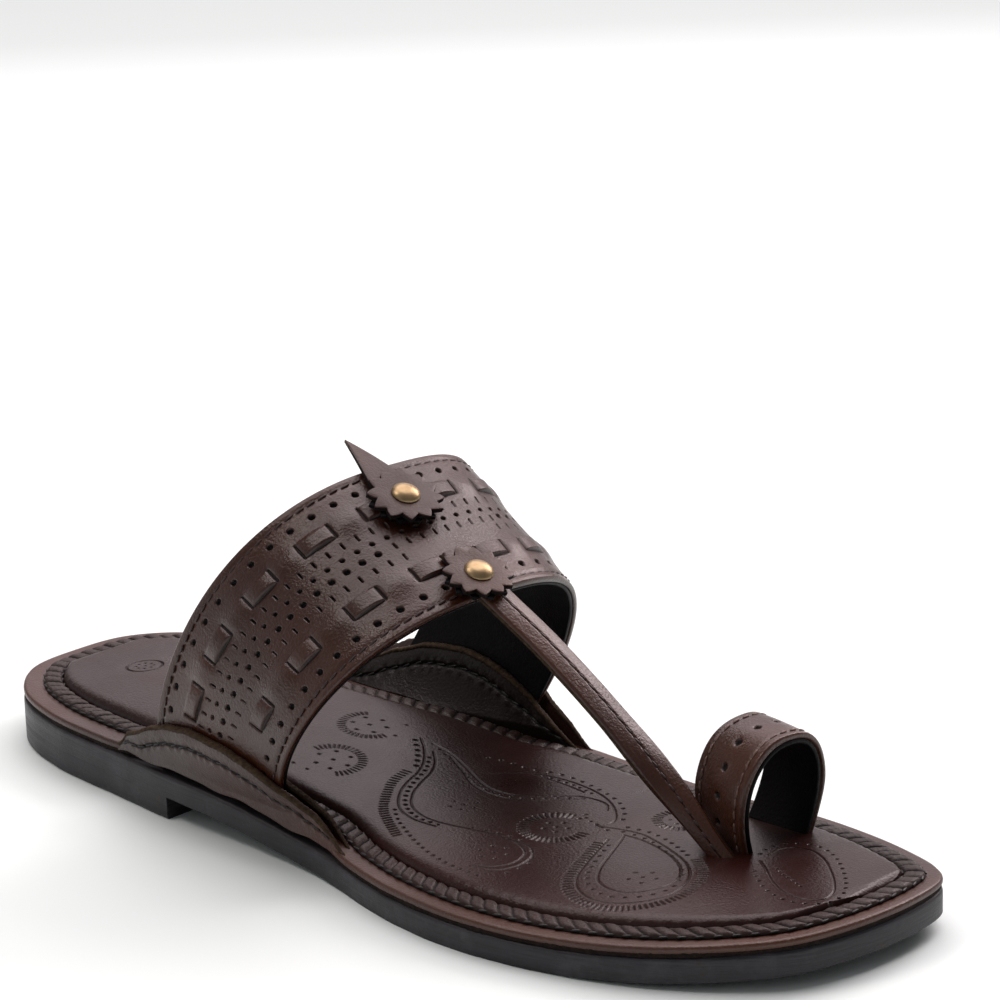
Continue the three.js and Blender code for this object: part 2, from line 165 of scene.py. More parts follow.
def left_of(ahead):
    """Flat directions turned a quarter turn to the left."""
    return np.stack([-ahead[:, 1], ahead[:, 0]], -1)


def line_length(line):
    return float(np.linalg.norm(np.diff(line, axis=0), axis=1).sum())


def ripple(x, y, scale, seed):
    """Smooth uneven field from about -1 to 1: a sum of six plane waves whose directions and
    phases come from the seed and whose lengths lie around the scale."""
    rng = np.random.default_rng(seed)
    total = np.zeros(np.broadcast(x, y).shape)
    for _ in range(6):
        angle = rng.uniform(0, 2 * np.pi)
        phase = rng.uniform(0, 2 * np.pi)
        length = scale * rng.uniform(0.6, 1.7)
        total += np.sin((x * math.cos(angle) + y * math.sin(angle)) * 2 * np.pi / length + phase)
    return total / 3.2


# ---- sole outline and heights --------------------------------------------------------------

def dense_outline():
    """Closed outline: heel back, lateral stations, toe tip, then medial stations back."""
    lateral = SOLE_STATIONS[:, [0, 1]]
    medial = SOLE_STATIONS[::-1][:, [0, 2]]
    ring = smooth_curve(np.vstack([[HEEL_BACK], lateral, [TOE_TIP], medial]), per_span=200, closed=True)
    toe = (len(SOLE_STATIONS) + 1) * 200
    return ring, toe


RING, RING_TOE = dense_outline()
RING_CLOSED = np.vstack([RING, RING[:1]])
RING_RUN = run_of(RING_CLOSED)
outsole_low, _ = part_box("outsole")
SHIFT = np.array([outsole_low.x / MM - RING[:, 0].min(), outsole_low.y / MM - RING[:, 1].min(), 0.0])


def on_ring(at):
    """Points of the closed outline at the given lengths along it."""
    return at_run(RING_CLOSED, RING_RUN, np.asarray(at) % RING_RUN[-1])


def flap_share(x, side):
    """1 where a flap grips the sole, falling to 0 beyond its ends."""
    flap = FLAPS["lateral" if side < 0 else "medial"]
    begun = smooth(x, flap["start"] - 6, flap["start"] + 12)
    return begun * (1 - smooth(x, flap["end"] - 16, flap["end"] + 4))


def underside(x):
    """Height of the outsole's underside: heel height that fades out before the ball, and a toe
    spring that grows with the power 1.8 of the way past it."""
    behind = HEEL_LIFT * (1 - smooth(x, BREAST_X, BALL_START_X))
    return behind + TOE_SPRING * (np.maximum(0, x - BALL_END_X) / TOE_SPRING_RUN) ** 1.8


def outsole_top(x):
    return underside(x) + GAP + OUTSOLE_THICKNESS


def top_sole_top(x):
    return outsole_top(x) + GAP + TOP_SOLE_THICKNESS


def ledge(x, side):
    """Width of the ledge of sole leather outside the braid."""
    plain = mix(LEDGE_AT_HEEL, LEDGE_AT_TOE, smooth(x, 40, 240))
    return mix(plain, LEDGE_IN_FLAPS, flap_share(x, side))


def half_outline(side, steps, crowd=0.3):
    """One half of the outline from heel to toe, by length, crowded towards both ends, with the
    inward normals."""
    i = np.linspace(0, 1, steps + 1)
    places = mix(i, 0.5 - 0.5 * np.cos(np.pi * i), crowd)
    toe, whole = RING_RUN[RING_TOE], RING_RUN[-1]
    at = places * toe if side < 0 else whole - places * (whole - toe)
    return on_ring(at), unit(left_of(on_ring(at + 0.5) - on_ring(at - 0.5)))


def inset_pair(steps, inset, crowd=0.3):
    """Lateral and medial edge lines moved inwards by inset(x, side)."""
    pair = []
    for side in (-1, 1):
        line, inward = half_outline(side, steps, crowd)
        pair.append(line + inward * inset(line[:, 0], side)[:, None])
    return pair


def around_line(inset, count, fine=4000):
    """The whole outline as one closed line moved inwards, evenly spaced by length. The first
    half of it is the lateral side."""
    line = by_length(RING_CLOSED, np.linspace(0, 1, fine, endpoint=False))
    inward = unit(left_of(np.roll(line, -1, 0) - np.roll(line, 1, 0)))
    lateral = np.arange(fine) < fine * 0.5
    amount = np.where(lateral, inset(line[:, 0], -1), inset(line[:, 0], 1))
    moved = line + inward * amount[:, None]
    return by_length(np.vstack([moved, moved[:1]]), np.arange(count) / count)


# ---- arched straps -------------------------------------------------------------------------

def edge_line(row, angle):
    """One edge of an arch: a superellipse over the foot whose half widths settle from the foot
    value to the full value, carried forward with y, z and z squared."""
    power = 2 / row["square"]
    rise = row["height"] * np.maximum(0, np.sin(angle)) ** power
    spread = np.abs(np.cos(angle)) ** power
    settled = 1 - (1 - rise / row["height"]) ** row["settle"]
    lateral = mix(row["foot_lateral"], row["lateral"], settled)
    medial = mix(row["foot_medial"], row["medial"], settled)
    y = np.where(np.cos(angle) > 0, -lateral, medial) * spread + row["tilt"] * rise
    x = row["x"] + row["skew"] * y + row["lean"] * rise + row["bow"] * rise ** 2 / 100
    return np.stack([x, row["centre"] + y, row["seat"] + rise], -1)


def arch_place(edges, angle, share):
    """Point on the ruled surface between the two edges of a strap."""
    return mix(edge_line(edges[0], angle), edge_line(edges[1], angle), np.asarray(share)[..., None])


def arch_normal(edges, angle, share):
    """Outward normal of the ruled surface, from its two directions."""
    inside = np.clip(angle, 0.02, math.pi - 0.02)
    over = arch_place(edges, inside + 0.004, share) - arch_place(edges, inside - 0.004, share)
    ahead = arch_place(edges, inside, share + 0.02) - arch_place(edges, inside, share - 0.02)
    return unit(np.cross(ahead, over))


def arch_scale(edges, breadth):
    """An arch with its angles against the length along its middle line, and its breadth."""
    angles = np.linspace(0, math.pi, 4001)
    run = run_of(arch_place(edges, angles, np.full(angles.shape, 0.5)))
    return dict(edges=edges, angles=angles, run=run, length=run[-1], breadth=breadth)


BAND = arch_scale(BAND_EDGES, BAND_WIDTH)
TOE_LOOP = arch_scale(TOE_LOOP_EDGES, TOE_LOOP_WIDTH)
BAND_LENGTH, BAND_BREADTH = BAND["length"], BAND["breadth"]
LOOP_LENGTH, LOOP_BREADTH = TOE_LOOP["length"], TOE_LOOP["breadth"]


def arch_angle(arch, u, v):
    """Angle and share of a place u mm along the arch from the lateral foot and v mm from its
    back edge."""
    return np.interp(u, arch["run"], arch["angles"]), np.asarray(v) / arch["breadth"]


def arch_up(arch, u, v):
    """Outward normal of an arch at a place."""
    return arch_normal(arch["edges"], *arch_angle(arch, u, v))


def on_arch(arch, u, v, lift):
    """Place on an arch, lift mm off its surface."""
    surface = arch_place(arch["edges"], *arch_angle(arch, u, v))
    return surface + arch_up(arch, u, v) * np.asarray(lift)[..., None]


# ---- meshes from arrays --------------------------------------------------------------------

def quads(rows, columns, wrap_rows=False, wrap_columns=False):
    """Quad indices of a grid of rows by columns points."""
    i = np.arange(rows if wrap_rows else rows - 1)[:, None]
    j = np.arange(columns if wrap_columns else columns - 1)[None]
    i2, j2 = (i + 1) % rows, (j + 1) % columns
    corners = i * columns + j, i2 * columns + j, i2 * columns + j2, i * columns + j2
    return np.stack(corners, -1).reshape(-1, 4)


def make_piece(name, points, faces, material, slot=None, replaces=(), marks=None, outward=True, sharp=None):
    """Puts points (mm, maker's frame) and faces into a mesh object that rides on the body."""
    mesh = bpy.data.meshes.new(name)
    placed = (np.asarray(points, float).reshape(-1, 3) + SHIFT) * MM
    mesh.from_pydata(placed.tolist(), [], [tuple(int(k) for k in face) for face in faces])
    for label, values in (marks or {}).items():
        layer = mesh.attributes.new(label, "FLOAT", "POINT")
        layer.data.foreach_set("value", np.asarray(values, np.float32).ravel())
    work = bmesh.new()
    work.from_mesh(mesh)
    bmesh.ops.remove_doubles(work, verts=work.verts, dist=2e-6)
    if outward:
        bmesh.ops.recalc_face_normals(work, faces=work.faces)
    work.to_mesh(mesh)
    work.free()
    mesh.shade_smooth()
    if sharp is not None:
        mesh.set_sharp_from_angle(angle=math.radians(sharp))
    mesh.materials.append(material)
    piece = bpy.data.objects.new(name, mesh)
    bpy.context.scene.collection.objects.link(piece)
    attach(piece, "root")
    if replaces:
        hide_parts(*replaces)
    return piece


def fine_grid(n, m, wanted, cuts):
    """Grid of n by m places (row, column) with some cells cut finer: those with a corner that
    wanted(row, column) picks out, apart from the two outermost rows and columns."""
    rows, columns = np.meshgrid(np.arange(n), np.arange(m), indexing="ij")
    near = wanted(rows.astype(float), columns.astype(float))
    cells = near[:-1, :-1] | near[1:, :-1] | near[:-1, 1:] | near[1:, 1:]
    cells[:2] = cells[-2:] = cells[:, :2] = cells[:, -2:] = False
    grid = bpy.data.meshes.new("grid")
    flat = np.column_stack([rows.ravel(), columns.ravel(), np.zeros(n * m)])
    grid.from_pydata(flat.tolist(), [], quads(n, m).tolist())
    work = bmesh.new()
    work.from_mesh(grid)
    work.faces.ensure_lookup_table()
    chosen = dict.fromkeys(edge for k in np.flatnonzero(cells) for edge in work.faces[k].edges)
    bmesh.ops.subdivide_edges(work, edges=list(chosen), cuts=cuts, use_grid_fill=True)
    work.to_mesh(grid)
    work.free()
    place = np.empty(3 * len(grid.vertices))
    grid.vertices.foreach_get("co", place)
    faces = [list(face.vertices) for face in grid.polygons]
    bpy.data.meshes.remove(grid)
    return place.reshape(-1, 3)[:, :2], faces


def strip(a, b):
    """Quads that join two rows of point numbers."""
    return np.stack([a[:-1], a[1:], b[1:], b[:-1]], -1)


def closed_below(top, faces, n, m, below_left, below_right, ends=True):
    """Closed body under a top made from a grid of n by m: walls join the top's long edges to
    two lower lines, a strip joins those, and each end is one face unless it is a point."""
    count = len(top)
    left, right = count + np.arange(n), count + n + np.arange(n)
    first, last = np.arange(n) * m, np.arange(n) * m + m - 1
    faces = faces + np.vstack([strip(left, first), strip(last, right), strip(right, left)]).tolist()
    if ends:
        faces += [[left[i], *(i * m + np.arange(m)), right[i]] for i in (0, n - 1)]
    return np.vstack([top, below_left, below_right]), faces


def doubled(outer, inner):
    """Closed body between two grids of one size, with walls along all four edges."""
    n, m = outer.shape[:2]
    points = np.vstack([outer.reshape(-1, 3), inner.reshape(-1, 3)])
    a = np.arange(n * m).reshape(n, m)
    b = a + n * m
    walls = [strip(a[:, 0], b[:, 0]), strip(a[:, -1], b[:, -1]), strip(a[0], b[0]), strip(a[-1], b[-1])]
    return points, np.vstack([quads(n, m), quads(n, m)[:, ::-1] + n * m, *walls])


def tube(rings, capped=(True, True)):
    """Closed body from a row of closed sections, with one face at each capped end. An end left
    open has its section drawn together into one line, which closes it."""
    n, m = rings.shape[:2]
    faces = quads(n, m, wrap_columns=True).tolist()
    faces += [list(range(k * m, (k + 1) * m)) for k, closed in zip((0, n - 1), capped) if closed]
    return rings.reshape(-1, 3), faces


def many(template_faces, places):
    """Copies of one small mesh: places is (count, points, 3), all with the template's faces."""
    count, size = places.shape[:2]
    shift = np.arange(count)[:, None, None] * size
    return places.reshape(-1, 3), (template_faces[None] + shift).reshape(-1, template_faces.shape[1])


# ---- finishes ------------------------------------------------------------------------------

def node(tree, kind, **values):
    """New shader node with its sockets or settings set by name."""
    made = tree.nodes.new(kind)
    for key, value in values.items():
        if key in made.inputs:
            made.inputs[key].default_value = value
        else:
            setattr(made, key, value)
    return made


def noise(tree, coords, scale, detail=4.0, rough=0.55, stretch=None):
    """Value of a noise texture, with its pattern scaled by stretch along x, y and z."""
    source = coords
    if stretch:
        mapping = node(tree, "ShaderNodeMapping")
        mapping.inputs["Scale"].default_value = stretch
        tree.links.new(coords, mapping.inputs["Vector"])
        source = mapping.outputs["Vector"]
    made = node(tree, "ShaderNodeTexNoise", Scale=scale, Detail=detail, Roughness=rough)
    tree.links.new(source, made.inputs["Vector"])
    return made.outputs["Fac"]


def ramp(tree, value, low, high, out_low=0.0, out_high=1.0):
    """Value between low and high spread over out_low to out_high, and held beyond them."""
    made = node(tree, "ShaderNodeMapRange")
    spans = ("From Min", low), ("From Max", high), ("To Min", out_low), ("To Max", out_high)
    for socket, number in spans:
        made.inputs[socket].default_value = number
    tree.links.new(value, made.inputs["Value"])
    return made.outputs["Result"]


def blend_colour(tree, share, first, second):
    """Mix of two colours or colour sockets by a value socket."""
    made = node(tree, "ShaderNodeMix", data_type="RGBA")
    for socket, value in ((made.inputs[6], first), (made.inputs[7], second)):
        if isinstance(value, (tuple, list)):
            socket.default_value = (*value, 1)
        else:
            tree.links.new(value, socket)
    tree.links.new(share, made.inputs[0])
    return made.outputs[2]


def finish_base(name, roughness=None, specular=0.5, coat=0.0, coat_roughness=0.2, metallic=0.0):
    """New material with its shader's plain values set, and the Object coordinates."""
    material = bpy.data.materials.new(name)
    material.use_nodes = True
    tree = material.node_tree
    shader = tree.nodes["Principled BSDF"]
    shader.inputs["Specular IOR Level"].default_value = specular
    shader.inputs["Coat Weight"].default_value = coat
    shader.inputs["Coat Roughness"].default_value = coat_roughness
    shader.inputs["Metallic"].default_value = metallic
    if roughness is not None:
        shader.inputs["Roughness"].default_value = roughness
    coords = node(tree, "ShaderNodeTexCoord").outputs["Object"]
    return material, tree, shader, coords


def add_bump(tree, shader, layers):
    """Chains bump nodes: each layer is (height socket, strength, distance in metres)."""
    previous = None
    for height, strength, distance in layers:
        bump = node(tree, "ShaderNodeBump", Strength=strength, Distance=distance)
        tree.links.new(height, bump.inputs["Height"])
        if previous is not None:
            tree.links.new(previous, bump.inputs["Normal"])
        previous = bump.outputs["Normal"]
    tree.links.new(previous, shader.inputs["Normal"])


def leather(name, dark, light, warm, roughness=(0.31, 0.44), coat=0.12, grain=0.38, marked=False,
            mark_and_shade_colour=(0.004, 0.003, 0.003), mark_range=(0.1, 0.5), patch=18.0, specular=0.36):
    """Smooth dyed leather: two browns in soft patches, warmer rubbed areas, fine pores, and a
    darker, duller colour wherever the piece's own mark attribute is high. The mark holds
    pressed and punched marks, and painted shade in seams, creases, grooves, slits and holes."""
    material, tree, shader, coords = finish_base(name, specular=specular, coat=coat, coat_roughness=0.28)
    patches = ramp(tree, noise(tree, coords, patch, 3), 0.38, 0.62)
    colour = blend_colour(tree, patches, dark, light)
    rubbed = ramp(tree, noise(tree, coords, patch * 0.55, 2, 0.4), 0.52, 0.7)
    colour = blend_colour(tree, rubbed, colour, warm)
    uneven = ramp(tree, noise(tree, coords, 60, 3), 0.3, 0.7, *roughness)
    if marked:
        # Painted shade: where the mark is high the colour goes to the near-black mark colour, which on
        # seams, creases, grooves, slits and holes is shade painted into the leather.
        attribute = node(tree, "ShaderNodeAttribute", attribute_name="mark")
        depth = ramp(tree, attribute.outputs["Fac"], *mark_range)
        colour = blend_colour(tree, depth, colour, mark_and_shade_colour)
        duller = node(tree, "ShaderNodeMath", operation="MULTIPLY_ADD")
        duller.inputs[1].default_value = 0.35
        tree.links.new(depth, duller.inputs[0])
        tree.links.new(uneven, duller.inputs[2])
        uneven = duller.outputs["Value"]
    tree.links.new(colour, shader.inputs["Base Color"])
    tree.links.new(uneven, shader.inputs["Roughness"])
    pores = noise(tree, coords, 1500, 2, 0.6)
    creases = noise(tree, coords, 420, 3, 0.6)
    add_bump(tree, shader, [(pores, grain, 0.0005), (creases, grain * 0.25, 0.0005)])
    return material


def raw_edge(name, colour, second):
    """Rough cut leather edge: fibrous, dull, streaked along its length."""
    material, tree, shader, coords = finish_base(name, roughness=0.85, specular=0.15)
    fibres = ramp(tree, noise(tree, coords, 900, 4), 0.35, 0.65)
    tree.links.new(blend_colour(tree, fibres, colour, second), shader.inputs["Base Color"])
    add_bump(tree, shader, [(noise(tree, coords, 1100, 4, 0.7), 0.5, 0.0006)])
    return material


def painted_sole(name):
    """Black painted sole edge: satin, with brush lines along it, grey scuffs and a few brown
    chips where the paint is worn through."""
    material, tree, shader, coords = finish_base(name, specular=0.35, coat=0.0, coat_roughness=0.3)
    brushed = noise(tree, coords, 90, 5, 0.6, stretch=(0.5, 0.5, 14))
    scuffs = ramp(tree, noise(tree, coords, 55, 6, 0.7), 0.5, 0.72)
    chips = ramp(tree, noise(tree, coords, 150, 5, 0.6), 0.66, 0.72)
    streaks = ramp(tree, brushed, 0.35, 0.65)
    colour = blend_colour(tree, streaks, (0.0125, 0.0122, 0.0145), (0.027, 0.0262, 0.032))
    colour = blend_colour(tree, scuffs, colour, (0.046, 0.045, 0.052))
    colour = blend_colour(tree, chips, colour, (0.030, 0.020, 0.013))
    tree.links.new(colour, shader.inputs["Base Color"])
    tree.links.new(ramp(tree, brushed, 0.3, 0.7, 0.38, 0.55), shader.inputs["Roughness"])
    add_bump(tree, shader, [(brushed, 0.3, 0.0008), (noise(tree, coords, 700, 3), 0.15, 0.0004)])
    return material


def thread(name, colour, second):
    """Waxed thread: two close tones in short bands, slightly shiny."""
    material, tree, shader, coords = finish_base(name, roughness=0.5, specular=0.5)
    bands = ramp(tree, noise(tree, coords, 700, 2), 0.4, 0.6)
    tree.links.new(blend_colour(tree, bands, colour, second), shader.inputs["Base Color"])
    add_bump(tree, shader, [(noise(tree, coords, 2200, 2), 0.3, 0.0002)])
    return material


def antique_brass(name):
    """Brass with brown tarnish in patches and a lightly worn, brushed face."""
    material, tree, shader, coords = finish_base(name, metallic=1.0)
    tarnish = ramp(tree, noise(tree, coords, 260, 4), 0.35, 0.7)
    colour = blend_colour(tree, tarnish, (0.40, 0.30, 0.17), (0.26, 0.185, 0.10))
    tree.links.new(colour, shader.inputs["Base Color"])
    tree.links.new(ramp(tree, noise(tree, coords, 500, 3), 0.3, 0.7, 0.3, 0.42), shader.inputs["Roughness"])
    add_bump(tree, shader, [(noise(tree, coords, 900, 3), 0.08, 0.0003)])
    return material


BROWN_DARK = (0.0300, 0.0082, 0.0034)
BROWN_LIGHT = (0.0500, 0.0155, 0.0070)
BROWN_WARM = (0.0590, 0.0160, 0.0056)
UPPER = leather("upper_brown", BROWN_DARK, BROWN_LIGHT, BROWN_WARM, roughness=(0.26, 0.36), coat=0.08,
                marked=True, specular=0.45)
FOOTBED = leather("footbed_brown", (0.0130, 0.0030, 0.0022), (0.0210, 0.0048, 0.0034),
                  (0.0280, 0.0048, 0.0028), roughness=(0.27, 0.38), coat=0.04, grain=0.3, marked=True,
                  mark_range=(0.15, 0.9), patch=14.0, specular=0.26)
TOP_SOLE = leather("top_sole_brown", BROWN_DARK, BROWN_LIGHT, BROWN_WARM, roughness=(0.36, 0.52),
                   specular=0.45)
FLAP = leather("flap_brown", (0.0300, 0.0125, 0.0098), (0.0420, 0.0185, 0.0145), BROWN_WARM, marked=True)
BRAID = leather("braid_brown", (0.0150, 0.0070, 0.0055), (0.0240, 0.0115, 0.0092), (0.0280, 0.0110, 0.0080),
                roughness=(0.4, 0.55), coat=0.03, marked=True, mark_and_shade_colour=(0.0025, 0.002, 0.002),
                mark_range=(0.1, 0.9), specular=0.3)
TRIM = leather("trim_brown", BROWN_DARK, BROWN_LIGHT, BROWN_WARM, roughness=(0.4, 0.55))
LINING = leather("black_lining", (0.0014, 0.0011, 0.0014), (0.0024, 0.0018, 0.0022),
                 (0.0030, 0.0020, 0.0018), roughness=(0.45, 0.65), coat=0.0, specular=0.12)
FLAP_LINING = leather("flap_lining_dark", (0.0052, 0.0024, 0.0020), (0.0100, 0.0048, 0.0038),
                      (0.018, 0.007, 0.0045), roughness=(0.3, 0.5), coat=0.05, marked=True, specular=0.25)
SOLE_BLACK = painted_sole("sole_black")
EDGE_BROWN = raw_edge("raw_edge_brown", (0.026, 0.016, 0.009), (0.058, 0.039, 0.023))
EDGE_DARK = raw_edge("raw_edge_dark", (0.0065, 0.0042, 0.0034), (0.017, 0.010, 0.0075))
EDGE_BLACK = raw_edge("raw_edge_black", (0.0028, 0.0018, 0.0016), (0.0075, 0.0045, 0.0036))
THREAD_DARK = thread("thread_dark", (0.014, 0.0060, 0.0050), (0.034, 0.0160, 0.0130))
THREAD_BLACK = thread("thread_black", (0.0035, 0.0025, 0.0025), (0.009, 0.0065, 0.006))
THREAD_PINK = thread("thread_red_brown", (0.085, 0.045, 0.036), (0.15, 0.09, 0.075))
BRASS = antique_brass("antique_brass")


# ---- stitches ------------------------------------------------------------------------------

def grain_of_thread(around=6, along=5):
    """Unit stitch: a closed bead, radius one half sine to the power 0.35 along its length.
    Its end faces are triangles written as four corners, the last one twice."""
    t = np.linspace(0, 1, along + 2)[1:-1]
    turn = np.linspace(0, 2 * np.pi, around, endpoint=False)
    radius = np.sin(np.pi * t) ** 0.35
    ring = np.stack([np.broadcast_to(t[:, None] - 0.5, (along, around)),
                     radius[:, None] * np.cos(turn), radius[:, None] * np.sin(turn)], -1).reshape(-1, 3)
    points = np.vstack([ring, [[-0.5, 0, 0]], [[0.5, 0, 0]]])
    here = np.arange(around)
    following = (here + 1) % around
    last = (along - 1) * around
    first_tip, last_tip = np.full((2, around), [[len(ring)], [len(ring) + 1]])
    faces = np.vstack([
        quads(along, around, wrap_columns=True),
        np.stack([first_tip, following, here, here], -1),
        np.stack([last_tip, last + here, last + following, last + following], -1),
    ])
    return points, faces


def stitches(line, normals, length, gap, radius, slant):
    """Beads laid end to end along a line, each turned by slant about the surface normal."""
    run = run_of(line)
    count = int(run[-1] / (length + gap))
    at = (np.arange(count) + 0.5) * run[-1] / count
    centre = at_run(line, run, at)
    normal = unit(at_run(normals, run, at))
    ahead = at_run(line, run, at + 0.3) - at_run(line, run, at - 0.3)
    ahead = unit(ahead - (ahead * normal).sum(-1, keepdims=True) * normal)
    turned = ahead * math.cos(slant) + np.cross(normal, ahead) * math.sin(slant)
    across = np.cross(normal, turned)
    points, faces = grain_of_thread()
    places = (centre[:, None] + points[None, :, :1] * length * turned[:, None]
              + points[None, :, 1:2] * radius * across[:, None]
              + points[None, :, 2:] * radius * normal[:, None])
    return many(faces, places)


def stitch_piece(name, rows, material, slot):
    """Joins several rows of stitches into one piece."""
    starts = np.cumsum([0] + [len(points) for points, _ in rows])
    points = np.vstack([row[0] for row in rows])
    faces = np.vstack([row[1] + start for row, start in zip(rows, starts)])
    clean = [list(dict.fromkeys(face)) for face in faces.tolist()]
    return make_piece(name, points, clean, material, slot)


# ---- pressed and punched marks -------------------------------------------------------------

def press(x, y, marks):
    """Depth from 0 to 1 of marks on a surface with flat coordinates x, y. Each mark is a row
    (x1, y1, x2, y2, radius, weight): a round-ended slot whose depth is the weight inside 0.75
    of its radius and nothing outside 1.2 of it."""
    depth = np.zeros(x.shape)
    flat_x, flat_y, flat = x.ravel(), y.ravel(), depth.ravel()
    order = np.argsort(flat_x, kind="stable")
    sorted_x = flat_x[order]
    for x1, y1, x2, y2, radius, weight in marks:
        reach = radius * 1.3
        first = np.searchsorted(sorted_x, min(x1, x2) - reach)
        last = np.searchsorted(sorted_x, max(x1, x2) + reach)
        near = order[first:last]
        near = near[np.abs(flat_y[near] - (y1 + y2) / 2) < abs(y2 - y1) / 2 + reach]
        if not len(near):
            continue
        px, py = flat_x[near] - x1, flat_y[near] - y1
        dx, dy = x2 - x1, y2 - y1
        share = np.clip((px * dx + py * dy) / max(dx * dx + dy * dy, 1e-9), 0, 1)
        away = np.hypot(px - share * dx, py - share * dy) / radius
        flat[near] = np.maximum(flat[near], weight * (1 - smooth(away, 0.75, 1.2)))
    return flat.reshape(x.shape)


# ---- sole ----------------------------------------------------------------------------------

def sole_layer(name, inset, low, high, material, slot, node_name, side_profile, until=None, bottom=None):
    """A layer of the sole. Each section runs round from the underside, up the medial wall,
    over the top and down the lateral wall. side_profile rows are (share of height, inset)."""
    caps = np.linspace(0, 1, 9)[1:-1]
    halves = {side: half_outline(side, 420) for side in (-1, 1)}

    def wall(side, share, extra):
        line, inward = halves[side]
        flat = line + inward * (inset(line[:, 0], side) + extra)[:, None]
        z = mix(low(flat[:, 0]), high(flat[:, 0]), share)
        if share == 0 and bottom is not None:
            z = z + bottom(line[:, 0], side)
        return np.column_stack([flat, z])

    def across(share, extra, places):
        return [mix(wall(1, share, extra), wall(-1, share, extra), v) for v in places]

    sections = [wall(1, *row) for row in side_profile]
    sections += across(1.0, side_profile[-1][1], caps)
    sections += [wall(-1, *row) for row in side_profile[::-1]]
    sections += across(0.0, side_profile[0][1], caps)[::-1]
    rings = np.stack(sections, 1)
    if until is not None:
        rings = rings[halves[-1][0][:, 0] < until]
        rings[-1, :, 0] = until
    points, faces = tube(rings, (False, until is not None))
    return make_piece(name, points, faces, material, slot, [node_name], sharp=40)


# Chips along the sole's bottom rim: side, station, depth.
SOLE_CHIPS = [
    (-1, 150, 0.9), (-1, 226, 1.2), (-1, 262, 0.8), (-1, 176, 0.5), (-1, 238, 0.6), (-1, 36, 0.8),
    (1, 120, 0.6),
]


def nicks(x, side):
    """Depth of the small chips in the bottom rim, each a bell curve along the sole, and of
    shallow scallops on the front part of the little-toe side."""
    total = np.zeros_like(x)
    for chip_side, at, depth in SOLE_CHIPS:
        if chip_side == side:
            total += depth * np.exp(-((x - at) / 0.9) ** 2)
    front = smooth(x, 205, 215) * (1 - smooth(x, 262, 276)) * (side < 0)
    return total + 0.3 * front * np.abs(np.sin(x * 0.62 + 0.8 * np.sin(x * 0.21))) ** 3


def off_ends(x):
    """1 along the sole, falling to 0 at the back of the heel and the tip of the toe."""
    return smooth(x, 5, 16) * (1 - smooth(x, 266, 280))


def build_sole():
    """Black outsole and heel lift with slightly uneven walls, rounded rims and chips."""
    uneven = lambda x, side: 0.1 * np.sin(x / 3.1 + side) * np.sin(x / 7.3) * off_ends(x)
    floor_level = lambda x: np.zeros_like(x)
    lift_top = lambda x: np.full_like(x, HEEL_LIFT + 0.15)
    sole_layer("heel_lift_black", uneven, floor_level, lift_top, SOLE_BLACK, "sole_rubber", "heel_lift",
               [(0.0, 0.5), (0.06, 0.12), (0.14, 0.0), (0.5, 0.0), (0.98, 0.0), (1.0, 0.05)],
               until=BREAST_X, bottom=nicks)
    over_lift = lambda x: np.maximum(underside(x), np.where(x < BREAST_X, HEEL_LIFT, 0))
    sole_layer("outsole_black", uneven, over_lift, outsole_top, SOLE_BLACK, "sole_rubber", "outsole",
               [(0.0, 0.06), (0.02, 0.0), (0.14, 0.0), (0.5, 0.0), (0.86, 0.0), (0.94, 0.15), (1.0, 0.6)],
               bottom=lambda x, side: np.where(x > BREAST_X, nicks(x, side), 0))


def build_top_sole():
    """Brown sole leather, notched in at the flaps, with its rough cut edge as a second body
    around it."""
    notch = lambda x, side: NOTCH_IN_FLAPS * flap_share(x, side)
    long_waves = lambda x, side: 0.16 * np.sin(x / 2.3 + side) * np.sin(x / 5.9 + 1)
    waves = lambda x, side: long_waves(x, side) + 0.1 * np.sin(x * 2.9 + 2 * side)
    rough = lambda x, side: notch(x, side) + 0.3 + off_ends(x) * waves(x, side)
    sole_layer("top_sole_leather", notch, lambda x: outsole_top(x) + 1.15, top_sole_top, TOP_SOLE,
               "top_sole_leather", "top_sole",
               [(0.0, 0.3), (0.2, 0.05), (0.5, 0.0), (0.75, 0.12), (0.9, 0.36), (0.97, 0.68), (1.0, 1.05)])
    sole_layer("top_sole_cut_edge", rough, lambda x: outsole_top(x) + 0.04, lambda x: outsole_top(x) + 1.7,
               EDGE_DARK, "top_sole_leather", "top_sole",
               [(0.0, 0.3), (0.2, 0.0), (0.5, 0.12), (0.8, 0.0), (1.0, 0.4)])


BRAID_PITCH = 4.15


